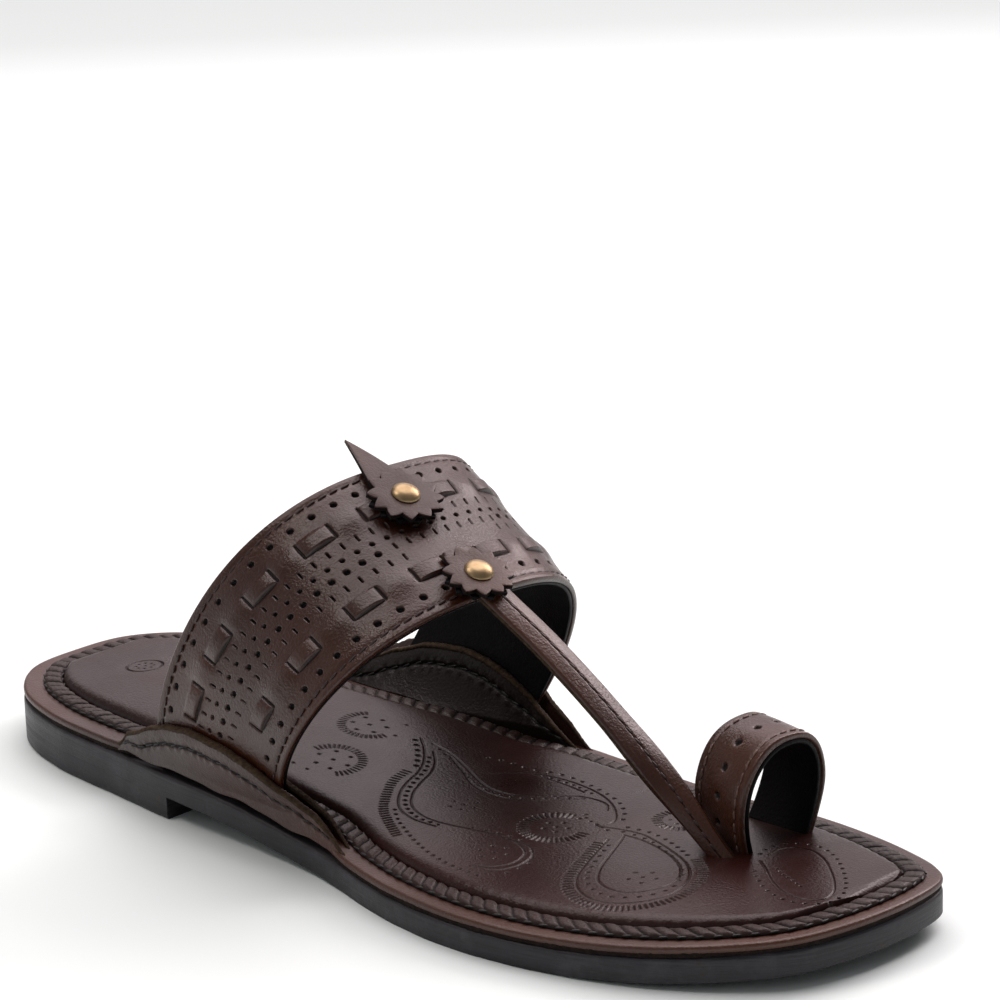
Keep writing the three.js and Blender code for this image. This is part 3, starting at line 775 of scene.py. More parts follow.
def build_braid():
    """Flat plait of slanted cells: height is a low hump of the phase, length plus slant times
    width over the pitch, times a rounded profile across, with fine wrinkles along each cell.
    A row of stitches runs along each edge."""
    n, m = 3000, 13
    edge_at = lambda share, count: around_line(lambda x, side: ledge(x, side) + BRAID_WIDTH * share, count)
    outer, inner = edge_at(0.0, n), edge_at(1.0, n)
    run = line_length(np.vstack([outer, outer[:1]]))
    turns = round(run / BRAID_PITCH)
    along = np.linspace(0, turns, n, endpoint=False)[:, None]
    w = np.linspace(0, 1, m)[None]
    phase = along + 0.5 * w + 0.06 * np.sin(2 * np.pi * w)
    cell, number = phase % 1.0, np.floor(phase) % turns
    profile = np.clip(1 - np.abs(2 * w - 1) ** 5, 0, 1) ** 0.7
    hump = np.clip(1 - np.abs(2 * cell - 1) ** 3, 0, 1)
    per_cell = 0.12 * np.sin(number * 2.4) + 0.08 * np.sin(number * 5.1)
    lines_across = np.sin((w * 4.0 + 0.5 * cell + 0.5 * np.sin(number * 3.7)) * 2 * np.pi)
    wrinkles = 0.07 * lines_across * np.sin(np.pi * cell)
    height = 0.3 + profile * (0.55 + 0.75 * hump + per_cell + wrinkles)
    flat = mix(outer[:, None], inner[:, None], w[..., None])
    top = np.dstack([flat, top_sole_top(flat[..., 0]) + height])
    below = [np.column_stack([line, top_sole_top(line[:, 0]) + 0.05]) for line in (outer, inner)]
    points = np.vstack([top.reshape(-1, 3), *below])
    left, right = n * m + np.arange(n), n * m + n + np.arange(n)
    first, last = np.arange(n) * m, np.arange(n) * m + m - 1
    ring_strip = lambda a, b: np.stack([a, np.roll(a, -1), np.roll(b, -1), b], -1)
    walls = [ring_strip(left, first), ring_strip(last, right), ring_strip(right, left)]
    faces = np.vstack([quads(n, m, wrap_rows=True), *walls])
    # Painted shade: the grooves between cells and the plait's falling edges are darkened, and its side walls
    # are painted fully dark.
    groove_shade = 1 - smooth(np.minimum(cell, 1 - cell), 0.03, 0.16)
    dark = np.clip(0.8 * groove_shade + 0.6 * (1 - profile), 0, 1)
    marks = {"mark": np.r_[dark.ravel(), np.ones(2 * n)]}
    make_piece("edge_braid_strip", points, faces, BRAID, "braid_leather", ["edge_braid"], marks=marks)

    length = BRAID_PITCH * 0.72
    rows = []
    for share, slant in ((0.04, 0.25), (0.96, -0.25)):
        line = edge_at(share, 2400)
        line = np.vstack([line, line[:1]])
        placed = np.column_stack([line, top_sole_top(line[:, 0]) + 0.62])
        up = np.tile([0.0, 0.0, 1.0], (len(placed), 1))
        rows.append(stitches(placed, up, length, run / turns - length, 0.36, slant))
    stitch_piece("braid_stitches", rows, THREAD_BLACK, "braid_leather")


# ---- footbed -------------------------------------------------------------------------------

def dots_along(pitch, radius, points):
    """Dots at an even pitch along a smooth line."""
    line = smooth_curve(points)
    length = line_length(line)
    at = by_length(line, np.arange(max(1, int(length / pitch)) + 1) * pitch / length)
    return spots(at, radius)


def line_marks(points, radius=0.24, weight=0.55):
    """A smooth shallow line, as short strokes laid end to end."""
    line = smooth_curve(points)
    line = by_length(line, np.linspace(0, 1, max(2, int(line_length(line) / 0.8))))
    return [(*a, *b, radius, weight) for a, b in zip(line[:-1], line[1:])]


def ticks_along(pitch, length, points):
    """Short strokes square to a smooth line, which runs through their middles."""
    line = smooth_curve(points)
    places = np.linspace(0, 1, int(line_length(line) / pitch) + 1)
    square = left_of(headings(line, places)) * length / 2
    return [(*(p - s), *(p + s), 0.24, 0.9) for p, s in zip(by_length(line, places), square)]


def tick_fan(x, y, inner, outer, start, end, count, radius):
    """Strokes that point away from a centre between two radii, from one angle to another."""
    angle = np.radians(np.linspace(start, end, count))
    c, s = np.cos(angle), np.sin(angle)
    return [(x + inner * a, y + inner * b, x + outer * a, y + outer * b, radius, 0.9) for a, b in zip(c, s)]


def flower(x, y, reach, petals, radius, turn=0.0):
    """A dot with a ring of dots round it."""
    angle = np.arange(petals) * 2 * np.pi / petals + turn
    return spots([(x, y), *((x + reach * math.cos(a), y + reach * math.sin(a)) for a in angle)], radius)


def spots(places, radius):
    """A dot at each place."""
    return [(x, y, x, y, radius, 1.0) for x, y in places]


# Pressed pattern of the footbed, drawn in the sole's own millimetres. fans are (x, y, inner
# and outer radius, first and last angle, strokes, radius), flowers (x, y, reach, petals,
# radius, turn), spots (places, radius), lines just places, dots (pitch, radius, places) and
# ticks (pitch, length, places).
FOOTBED_MOTIFS = {
    "tick rings ahead of the band": dict(
        fans=[(115.0, 5.5, 6.4, 8.3, 142, 345, 23, 0.22), (123.5, -15.9, 6.5, 8.5, -38, 170, 24, 0.22)],
        flowers=[(115.0, 5.5, 4.6, 6, 0.5, 0.5), (123.5, -15.9, 4.7, 6, 0.5, 0.1)],
        spots=[([(121.2, 12.9), (123.9, 5.9), (122.4, -24.0), (117.5, -24.2)], 0.4)],
    ),
    "long leaf on the little-toe side": dict(
        lines=[
            [(128.9, 10.2), (134.5, 5.8), (139.3, 0.6), (142.6, -4.8), (145.0, -11.4), (148.6, -17.6),
             (154.0, -22.8), (160.6, -25.1), (168.5, -25.2)],
            [(136.5, 7.0), (141.6, 2.4), (145.0, -2.6), (147.2, -8.2), (150.2, -14.2), (155.0, -19.6),
             (161.0, -22.3), (168.0, -22.8), (176.5, -21.4), (183.5, -19.9), (190.5, -20.2), (196.5, -23.5),
             (198.2, -29.0), (196.0, -33.6), (191.0, -36.2)],
            [(187.5, -20.0), (194.5, -19.9), (199.0, -23.6), (200.2, -29.6), (198.2, -34.4), (195.4, -36.0)],
        ],
        dots=[
            (2.6, 0.5, [(138.4, 3.6), (142.6, -2.0), (145.4, -8.6), (149.0, -15.4), (153.8, -20.6),
                        (160.4, -23.7), (169.0, -24.2)]),
            (3.0, 0.62, [(129.0, 8.2), (133.6, 4.3), (137.4, 0.4), (139.8, -2.6)]),
            (2.7, 0.42, [(153.4, -24.0), (158.0, -27.6), (163.4, -30.6), (170.5, -34.2), (178.0, -37.0),
                         (186.0, -38.9), (196.5, -39.2)]),
            (3.6, 0.4, [(176.5, -20.6), (182.5, -18.9), (190.5, -18.6), (197.0, -21.6), (201.4, -27.4),
                        (200.9, -33.9), (198.5, -37.0)]),
        ],
        ticks=[(1.3, 2.0, [(140.2, -6.4), (141.8, -12.6), (145.6, -19.0), (150.6, -25.2), (156.6, -29.6),
                           (164.0, -34.0)])],
        flowers=[(190.4, -27.8, 3.6, 6, 0.42, 0.3)],
    ),
    "middle leaf": dict(
        lines=[
            [(155.6, 7.8), (158.0, 11.4), (162.0, 14.6), (167.0, 16.9), (173.3, 17.5), (180.0, 16.9),
             (186.6, 15.2), (192.4, 12.2), (197.0, 8.4), (199.9, 4.6), (200.2, 2.0), (198.4, -0.4)],
            [(163.0, 15.4), (169.0, 15.2), (175.5, 14.8), (181.5, 14.0)],
            [(133.4, 10.1), (140.0, 9.4), (148.0, 6.6), (155.8, 3.0), (162.0, 1.0), (168.2, 1.0),
             (174.2, 3.6), (178.6, 7.6), (182.6, 11.0), (187.0, 12.1), (191.4, 11.4), (194.0, 8.6)],
            [(141.6, 8.0), (149.0, 4.4), (156.0, 0.4), (163.0, -1.6), (169.6, -1.4), (175.4, 1.4),
             (180.0, 6.0), (184.6, 10.6)],
        ],
        dots=[
            (2.5, 0.4, [(166.0, 16.0), (172.0, 16.2), (178.0, 15.7), (184.0, 14.4)]),
            (3.6, 0.52, [(148.0, 14.8), (153.4, 16.8), (160.0, 17.2), (167.6, 19.6), (174.0, 19.6),
                         (180.4, 18.4), (186.4, 16.9), (192.2, 14.6), (197.2, 11.0), (200.8, 6.6),
                         (201.0, 3.4)]),
            (2.9, 0.4, [(137.0, 9.0), (145.0, 6.2), (153.0, 2.6), (160.6, -0.2), (168.4, -0.4), (174.6, 2.2),
                        (179.2, 6.8), (183.0, 10.0)]),
        ],
        flowers=[(164.4, -11.0, 3.4, 6, 0.42)],
        spots=[([(191.8, 3.2), (193.2, 1.6), (192.4, 0.2), (195.6, 0.6), (198.0, 0.2), (200.2, -0.4),
                 (202.4, -0.8)], 0.42)],
    ),
    "half rings in the middle and by the thong": dict(
        fans=[(191.6, -7.6, 6.6, 9.0, 100, 372, 29, 0.26), (211.6, 15.6, 4.8, 6.8, 150, 330, 15, 0.26)],
        flowers=[(191.6, -7.2, 3.0, 5, 0.45, 0.4), (211.6, 15.6, 2.6, 5, 0.42)],
    ),
    "drop behind the toe loop": dict(
        lines=[
            [(198.6, -0.6), (204.0, 1.4), (210.0, 2.6), (217.0, 1.2), (224.0, -1.4), (230.5, -4.6),
             (236.2, -9.6), (239.8, -15.8), (240.4, -22.0), (237.6, -27.8), (232.4, -32.0), (226.0, -33.2),
             (220.0, -30.8), (215.4, -26.0), (212.2, -19.6), (208.8, -11.6), (206.4, -5.0)],
            [(207.6, -0.4), (210.0, -5.2), (213.4, -12.6), (217.2, -20.2), (221.8, -25.4), (227.4, -27.0),
             (232.6, -25.2), (236.0, -20.2), (236.4, -14.6), (232.8, -8.9), (227.0, -4.6), (220.4, -1.8),
             (213.4, -0.2), (207.6, -0.4)],
        ],
        dots=[
            (3.3, 0.42, [(206.0, 0.8), (213.0, 1.0), (222.0, -2.0), (230.0, -6.4), (235.6, -12.0),
                         (238.2, -19.0), (235.4, -26.2), (229.0, -30.0), (222.0, -28.8), (216.0, -23.0),
                         (212.0, -15.0), (208.6, -7.0)]),
            (3.0, 0.5, [(205.0, 3.6), (211.0, 4.6), (218.0, 3.4), (224.6, 0.8), (230.4, -2.0)]),
        ],
        ticks=[(1.35, 2.2, [(206.0, -8.0), (209.6, -17.0), (213.4, -26.0), (219.0, -33.0), (226.6, -35.8),
                            (234.6, -34.0), (240.4, -28.4), (243.0, -20.8), (241.6, -12.6), (237.2, -6.0),
                            (231.6, -1.8)])],
        flowers=[(228.4, -17.6, 3.4, 5, 0.42, 0.3)],
    ),
    "leaf under the big toe": dict(
        lines=[
            [(243.8, 10.2), (243.2, 14.0), (245.4, 17.4), (249.6, 18.4), (255.0, 16.2), (261.0, 11.4),
             (266.4, 6.0), (270.2, 0.6), (270.6, -3.4), (267.0, -5.8), (260.8, -5.2), (254.4, -1.8),
             (248.6, 3.0), (244.6, 6.0)],
        ],
        dots=[
            (3.0, 0.44, [(241.6, 9.6), (240.6, 14.2), (243.0, 19.4), (248.6, 21.6), (255.6, 19.2),
                         (263.0, 13.4), (269.2, 6.8), (272.8, 0.4), (272.4, -4.8), (266.8, -8.2),
                         (259.0, -7.4), (252.0, -3.8), (246.4, 1.0)]),
            (2.0, 0.36, [(250.6, 4.6), (254.6, 2.6), (258.6, 1.2), (262.6, -0.6)]),
        ],
    ),
}
# Plain ring round a small rosette of dots at the heel: x, y, radius.
HEEL_ROUNDEL = (37.4, -3.2, 4.9)
BED_EDGE_RADIUS = 3.4
BED_EDGE_HEIGHT = 2.2
BED_CROWN = 1.5
BED_PRESS_DEPTH = 0.5
BED_GATHER_PITCH = 3.6


def footbed_marks():
    """All pressed marks of the footbed."""
    kinds = {"fans": tick_fan, "flowers": flower, "spots": spots, "dots": dots_along, "ticks": ticks_along}
    marks = []
    for motif in FOOTBED_MOTIFS.values():
        for points in motif.get("lines", []):
            marks += line_marks(points)
        for kind, shape in kinds.items():
            for values in motif.get(kind, []):
                marks += shape(*values)
    ring = np.linspace(0, 2 * np.pi, 17)
    x, y, radius = HEEL_ROUNDEL
    marks += line_marks([(x + radius * math.cos(a), y + radius * math.sin(a)) for a in ring], 0.3, 0.8)
    return marks + flower(x, y, 2.4, 8, 0.36)


def build_footbed():
    """Padded footbed: a crowned top whose edge rolls over in a quarter circle, pressed marks
    sunk half a millimetre, and gathers along the rolled edge. The grid is cut finer wherever a
    mark lies."""
    n, m = 301, 95
    lateral, medial = inset_pair(n - 1, lambda x, side: ledge(x, side) + BRAID_WIDTH + 0.1, crowd=0.12)
    marks = footbed_marks()

    def flat_place(row, column):
        """Flat x, y of a place between grid lines, and the bed's width there."""
        left, right = (at_run(line, np.arange(n), row) for line in (lateral, medial))
        return mix(left, right, (column / (m - 1))[..., None]), np.linalg.norm(right - left, axis=-1)

    def wanted(row, column):
        flat, _ = flat_place(row, column)
        return press(flat[..., 0], flat[..., 1], [(*mark[:4], mark[4] + 0.42, 1.0) for mark in marks]) > 0.02

    place, faces = fine_grid(n, m, wanted, 3)
    flat, width = flat_place(place[:, 0], place[:, 1])
    v = place[:, 1] / (m - 1)
    x, y = flat[:, 0], flat[:, 1]
    from_side = np.minimum(v, 1 - v) * width
    from_end = np.minimum(x - lateral[0, 0], lateral[-1, 0] - x)
    from_edge = np.minimum(from_side, np.maximum(from_end, 0))
    roll = np.sqrt(np.clip(1 - (1 - np.clip(from_edge / BED_EDGE_RADIUS, 0, 1)) ** 2, 0, 1))
    crown = np.clip(1 - np.abs(2 * v - 1) ** 3, 0, 1)
    pressed = press(x, y, marks)
    ahead = np.where(v < 0.5, 1.0, -1.0) * x * 2 * np.pi / BED_GATHER_PITCH
    gather = np.sin(ahead + 2.0 * ripple(x, y * 0, 30, 5))
    gathers = 0.1 * gather * np.exp(-((from_edge - 1.2) / 1.3) ** 2)
    soft = 0.2 * ripple(x, y, 46, 3) * crown
    height = 0.35 + BED_EDGE_HEIGHT * roll + BED_CROWN * crown * smooth(from_end, 0, 34)
    z = top_sole_top(x) + height - BED_PRESS_DEPTH * pressed + gathers + soft
    below = [np.column_stack([line, top_sole_top(line[:, 0]) + 0.05]) for line in (lateral, medial)]
    points, faces = closed_below(np.column_stack([flat, z]), faces, n, m, *below, ends=False)
    marked = {"mark": np.r_[pressed, np.zeros(2 * n)]}
    bed = make_piece("footbed_pad", points, faces, FOOTBED, "footbed_leather", ["footbed"], marks=marked)


# ---- instep band ---------------------------------------------------------------------------

# Rows of punched marks on the band: kind, v from the back edge, first and last u, pitch, radius.
PUNCH_ROWS = [
    dict(kind="hole", v=(5.0, 6.3), first=8.0, last=199.0, pitch=6.2, radius=0.82),
    dict(kind="slit", v=(17.8, 18.9), first=10.6, last=197.0, pitch=4.15, radius=0.27),
    dict(kind="hole", v=(21.2, 22.6), first=10.8, last=197.0, pitch=4.25, radius=0.6),
    dict(kind="hole", v=(25.3, 26.2), first=11.2, last=84.5, pitch=4.45, radius=0.82),
    dict(kind="slit", v=(26.0, 26.0), first=87.4, last=120.0, pitch=3.95, radius=0.27),
    dict(kind="hole", v=(26.2, 25.3), first=122.5, last=196.0, pitch=4.45, radius=0.82),
    dict(kind="slit", v=(29.4, 30.4), first=12.6, last=88.0, pitch=4.15, radius=0.27),
    dict(kind="slit", v=(30.4, 29.4), first=119.0, last=195.0, pitch=4.15, radius=0.27),
    dict(kind="hole", v=(43.7, 43.9), first=11.6, last=197.0, pitch=6.55, radius=0.88),
]
TAB_ROWS = [
    dict(v=13.0, middles=[19.8, 36.8, 55.0, 73.0, 91.0, 109.0, 126.5, 144.0, 161.5, 179.0, 193.5]),
    dict(v=36.8, middles=[29.6, 51.2, 71.6, 90.4, 110.6, 127.0, 147.0, 167.5, 187.0]),
]
TAB_HALF_LENGTH = 4.4
SLIT_HALF_LENGTH = 0.8
PUNCH_DEPTH = 1.3
TAB_HALF_WIDTH = 2.35


def punch_marks():
    """Marks of the band's rows. v drifts from its first value at the foot to its second at the
    ridge and back."""
    marks = []
    for row in PUNCH_ROWS:
        u = np.arange(row["first"], row["last"] + 0.01, row["pitch"])
        drift = np.clip(1 - np.abs(u - BAND_LENGTH / 2) / (BAND_LENGTH / 2), 0, 1)
        v = mix(row["v"][0], row["v"][1], smooth(drift, 0.1, 0.9))
        half = SLIT_HALF_LENGTH if row["kind"] == "slit" else 0.0
        marks += [(a, b - half, a, b + half, row["radius"], 1.0) for a, b in zip(u, v)]
    return marks


def tab_relief(u, v):
    """Height and painted shade of the woven tabs. On a tab the strip stands proud and arches
    along its length, and its ends dive into slits. Between tabs the strip swells the leather
    over it. The slits and the grooves along a tab's sides are painted dark as shade, the
    front groove four times as dark as the one behind."""
    height, dark = np.zeros(u.shape), np.zeros(u.shape)
    for row in TAB_ROWS:
        dv = np.abs(v - row["v"])
        on_width = 1 - smooth(dv, TAB_HALF_WIDTH - 0.2, TAB_HALF_WIDTH + 0.15)
        in_slit = 1 - smooth(dv, TAB_HALF_WIDTH, TAB_HALF_WIDTH + 0.4)
        side_groove = np.exp(-((dv - TAB_HALF_WIDTH - 0.18) / 0.18) ** 2)
        # Painted shadow: the side groove is darkened four times as much on the tab's front side as behind
        # it.
        front = np.where(v < row["v"], 0.25, 1.0)
        for middle in row["middles"]:
            du = np.abs(u - middle)
            near = (du < 14) & (dv < 8)
            inside = (1 - smooth(du, TAB_HALF_LENGTH - 0.2, TAB_HALF_LENGTH + 0.1)) * on_width
            arch = 0.1 + 0.9 * np.clip(1 - (du / TAB_HALF_LENGTH) ** 2, 0, 1) ** 0.7
            slit = np.exp(-((du - TAB_HALF_LENGTH - 0.25) / 0.3) ** 2) * in_slit
            side = side_groove * (1 - smooth(du, TAB_HALF_LENGTH - 0.5, TAB_HALF_LENGTH + 0.2))
            height += np.where(near, inside * arch * 1.05 - 0.7 * slit - 0.3 * side * front, 0)
            dark = np.maximum(dark, np.where(near, slit + 0.75 * side * front, 0))
        for a, b in zip(row["middles"][:-1], row["middles"][1:]):
            centre, reach = (a + b) / 2, (b - a) / 2 - TAB_HALF_LENGTH - 0.7
            swell = np.exp(-(np.abs(u - centre) / max(reach, 1.0)) ** 4) * np.exp(-(dv / 3.8) ** 2)
            height += 0.75 * swell
    return height, dark


def edge_roll(distance, radius):
    """How far a surface falls near its edge when the edge is a quarter circle of the radius."""
    t = np.clip(distance / radius, 0, 1)
    return radius * (1 - np.sqrt(np.clip(1 - (1 - t) ** 2, 0, 1)))


def crowded(length, step, fine, margin):
    """Places from 0 to length, finer within a margin of both ends."""
    edge = np.arange(0, margin, fine)
    middle = np.linspace(margin, length - margin, int((length - 2 * margin) / step) + 1)
    return np.r_[edge, middle, (length - edge)[::-1]]


def strap_body(name, arch, u_line, top, faces, m, depth, dark):
    """Outer leather of a strap: its top grid, closed below by two edge lines at a depth."""
    below = [on_arch(arch, u_line, np.full_like(u_line, v), np.full_like(u_line, -depth))
             for v in (0.05, arch["breadth"] - 0.05)]
    points, faces = closed_below(top, faces, len(u_line), m, *below)
    # dark is painted shade in holes, slits, tab grooves and sunk seams, kept in the mark attribute.
    marks = {"mark": np.r_[np.clip(dark, 0, 1).ravel(), np.zeros(2 * len(u_line))]}
    make_piece(name, points, faces, UPPER, "upper_leather", ["upper"], marks=marks)


def strap_plies(arch, steps, step, plies):
    """Inner plies of a strap. Each has two depths, an inset from the strap's edges and a
    material, and its inner edges are rolled."""
    for name, out, inside, inset, material in plies:
        breadth = arch["breadth"] - 2 * inset
        v_line = crowded(breadth, step, 0.14, 0.4) + inset
        u, v = np.meshgrid(np.linspace(0, arch["length"], steps), v_line, indexing="ij")
        near = np.minimum(v - inset, breadth + inset - v)
        outer = on_arch(arch, u, v, np.full_like(u, out))
        inner = on_arch(arch, u, v, inside + edge_roll(near, 0.35))
        make_piece(name, *doubled(outer, inner), material, "upper_leather", ["upper"])


def strap_seams(name, arch, v_rows, margin, steps, sunk, stitch, material):
    """Rows of stitches along a strap. stitch is the length, gap, radius and slant."""
    rows = []
    for v_at in v_rows:
        u = np.linspace(margin, arch["length"] - margin, steps)
        v = np.full_like(u, v_at)
        rows.append(stitches(on_arch(arch, u, v, np.full_like(u, -sunk)), arch_up(arch, u, v), *stitch))
    stitch_piece(name, rows, material, "upper_leather")


def build_band():
    """Instep band: outer leather with its punched rows and woven tabs, a dark middle ply and a
    black lining. The outer grid is cut finer around the punched marks and the tabs' slits.
    The dark middle ply is painted shade for the gap between outer leather and lining. The
    outer leather is painted dark in its holes and slits, for the shade in them and the dark
    layers under them, and as painted shade in the tab grooves and along the sunk stitch lines."""
    n = 370
    u_line = np.linspace(0, BAND_LENGTH, n)
    v_line = crowded(BAND_BREADTH, 0.56, 0.2, 0.6)
    m = len(v_line)
    marks = punch_marks()

    def place_of(row, column):
        return np.interp(row, np.arange(n), u_line), np.interp(column, np.arange(m), v_line)

    def wanted(row, column):
        u, v = place_of(row, column)
        _, dark = tab_relief(u, v)
        return (press(u, v, [(*mark[:4], mark[4] + 0.3, 1.0) for mark in marks]) > 0.02) | (dark > 0.18)

    place, faces = fine_grid(n, m, wanted, 2)
    u, v = place_of(place[:, 0], place[:, 1])
    holes = press(u, v, marks)
    tabs, dark = tab_relief(u, v)
    near = np.minimum(v, BAND_BREADTH - v)
    seam = np.exp(-((near - STITCH_INSET) / 0.45) ** 2)
    slack = 0.18 * ripple(u, v, 34, 11)
    lift = -edge_roll(near, 0.6) - PUNCH_DEPTH * holes + tabs - 0.28 * seam + slack - 0.05
    lift *= smooth(u, -1, 5) * (1 - smooth(u, BAND_LENGTH - 5, BAND_LENGTH + 1))
    # Painted shade: holes and slits are darkened for the shade in them and the dark layers under them; tab
    # grooves and the sunk stitch lines are darkened as shade.
    strap_body("band_leather", BAND, u_line, on_arch(BAND, u, v, lift), faces, m, 1.45,
               np.maximum(holes, dark * 0.9) + 0.12 * seam)
    # Painted shade: the dark middle ply, set in from the edges, stands for the shaded gap between outer
    # leather and lining.
    strap_plies(BAND, 300, 3.0, [("band_gap_shade_ply", -1.42, -1.72, 0.45, EDGE_DARK),
                                 ("band_lining", -1.7, -2.6, 0.15, LINING)])
    strap_seams("band_stitches", BAND, (STITCH_INSET, BAND_BREADTH - STITCH_INSET), 3, 900, 0.16,
                (2.75, 0.45, 0.34, 0.12), THREAD_DARK)


# ---- toe loop ------------------------------------------------------------------------------

LOOP_HOLES = [9.0, 16.2, 23.6, 30.6, 37.2, 43.8, 50.6, 57.6, 65.0]
LOOP_HOLE_V = 9.6


def build_toe_loop():
    """Loop over the big toe: outer leather with a row of holes in shallow dimples, a brown
    middle ply and a black lining."""
    u_line = np.linspace(0, LOOP_LENGTH, 300)
    u, v = np.meshgrid(u_line, crowded(LOOP_BREADTH, 0.3, 0.15, 0.7), indexing="ij")
    holes = press(u, v, [(a, LOOP_HOLE_V, a, LOOP_HOLE_V, 0.95, 1.0) for a in LOOP_HOLES])
    dimple = sum(np.exp(-((u - a) ** 2 + (v - LOOP_HOLE_V) ** 2) / 2.4) for a in LOOP_HOLES)
    near = np.minimum(v, LOOP_BREADTH - v)
    seam = np.exp(-((near - STITCH_INSET) / 0.45) ** 2)
    lift = -edge_roll(near, 0.6) - 1.0 * holes - 0.3 * dimple - 0.26 * seam + 0.12 * ripple(u, v, 17, 8)
    # Painted shade: the holes, for the shade and dark lining under them, and the sunk stitch lines are
    # darkened through the mark attribute.
    strap_body("toe_loop_leather", TOE_LOOP, u_line, on_arch(TOE_LOOP, u, v, lift).reshape(-1, 3),
               quads(*u.shape).tolist(), u.shape[1], 1.4, holes + 0.12 * seam)
    strap_plies(TOE_LOOP, 200, 2.0, [("toe_loop_middle_ply", -1.3, -1.75, 0.3, EDGE_BROWN),
                                     ("toe_loop_lining", -1.7, -2.8, 0.1, LINING)])
    strap_seams("toe_loop_stitches", TOE_LOOP, (2.4, LOOP_BREADTH - 2.6), 2, 500, 0.1,
                (2.7, 0.5, 0.36, 0.14), THREAD_PINK)


# ---- thong ---------------------------------------------------------------------------------

def ridge(share, lift):
    """Point over the band's ridge, share of the way to the front edge."""
    angle, at = np.array([math.radians(THONG_ANGLE)]), np.array([share])
    return (arch_place(BAND_EDGES, angle, at) + arch_normal(BAND_EDGES, angle, at) * lift)[0]


def thong_path(steps):
    """Centre line of the strap with its width direction, which turns on edge as it lands."""
    lift = THONG_THICKNESS / 2 - 0.2
    leaving, end = ridge(1.0, lift), np.array(THONG_END)
    share = np.array([0.25, 0.5, 0.75])[:, None]
    between = mix(leaving, end, share) + np.array([0, 0, 4 * THONG_RISE]) * share * (1 - share)
    line = smooth_curve(np.vstack([ridge(0.72, lift), ridge(0.88, lift), leaving, between, end]))
    places = np.linspace(0, 1, steps)
    ahead = headings(line, places)
    wide = mix(np.array([0.0, 1, 0]), unit(np.array([0.45, 0.45, 0.77])), smooth(places, 0.55, 1.0)[:, None])
    wide = unit(wide - (wide * ahead).sum(-1, keepdims=True) * ahead)
    return by_length(line, places), wide, np.cross(ahead, wide)


def build_thong():
    """Folded strap: flat underneath, its top in two slopes with the seam sunk along the middle,
    narrower towards its lower end. The fold's raw edge shows as a thin ply on both sides."""
    steps, top_points = 300, 41
    centre, wide, up = thong_path(steps)
    half = THONG_WIDTH / 2
    s = np.linspace(-1, 1, top_points)
    slopes = 1.55 - 0.75 * np.abs(s) ** 1.6
    top_z = slopes - 0.3 * np.exp(-(s / 0.06) ** 2) - 0.6 * smooth(np.abs(s), 0.93, 1.0)
    under = np.linspace(1, -1, 15)[1:-1] * (half - 0.2)
    section = np.vstack([
        np.column_stack([s * half, top_z]), [[half - 0.05, -0.7]],
        np.column_stack([under, np.full(len(under), -1.45)]), [[-half + 0.05, -0.7]],
    ])
    narrow = wide * (1 - 0.42 * smooth(np.linspace(0, 1, steps), 0.62, 0.97))[:, None]
    across, high = narrow[:, None], up[:, None]
    swept = lambda flat: centre[:, None] + flat[None, :, :1] * across + flat[None, :, 1:] * high
    # Painted shade along the seam sunk down the middle of the top.
    seam = np.zeros(len(section))
    seam[:top_points] = 0.35 * np.exp(-(s / 0.05) ** 2)
    make_piece("thong_leather", *tube(swept(section)), UPPER, "upper_leather", ["upper"], sharp=50,
               marks={"mark": np.tile(seam, steps)})
    wider = half + 0.12
    ply = np.array([[-wider, -0.75], [-wider, 0.05], [wider, 0.05], [wider, -0.75]])
    make_piece("thong_fold_edge", *tube(swept(ply)), EDGE_BROWN, "upper_leather", ["upper"], sharp=30)
    line = centre + up * 1.36
    row = stitches(line[10:-12], up[10:-12], 2.5, 0.9, 0.36, 0.12)
    stitch_piece("thong_stitches", [row], THREAD_DARK, "upper_leather")


# ---- side flaps ----------------------------------------------------------------------------

FLAP_SEAM_DEPTH = 4.9
FLAP_FOLD_PITCH = 3.3


def band_side(side, x, z):
    """Distance from the middle plane of the band's outer face at a height."""
    at = []
    for row in BAND_EDGES:
        rise = np.maximum(0, z - row["seat"]) / row["height"]
        angle = np.arcsin(np.clip(rise ** (row["square"] / 2), 0, 1))
        at.append(edge_line(row, angle if side < 0 else math.pi - angle))
    share = np.clip((x - at[0][..., 0]) / (at[1][..., 0] - at[0][..., 0]), 0, 1)
    return np.abs(mix(at[0][..., 1], at[1][..., 1], share))


def sole_edge(side, x):
    """Distance from the middle plane of the sole's outline."""
    line, _ = half_outline(side, 1500)
    return np.abs(np.interp(x, line[:, 0], line[:, 1]))


def flap_top(flap, x):
    """Height of an ear's crest: a rounded hump from its start over its peak to its end."""
    run = np.where(x < flap["peak"], flap["peak"] - flap["start"], flap["end"] - flap["peak"])
    away = np.clip(np.abs(x - flap["peak"]) / run, 0, 1)
    return mix(top_sole_top(x) + GAP + 1.2, flap["top"], (1 - away * away) ** 1.25)


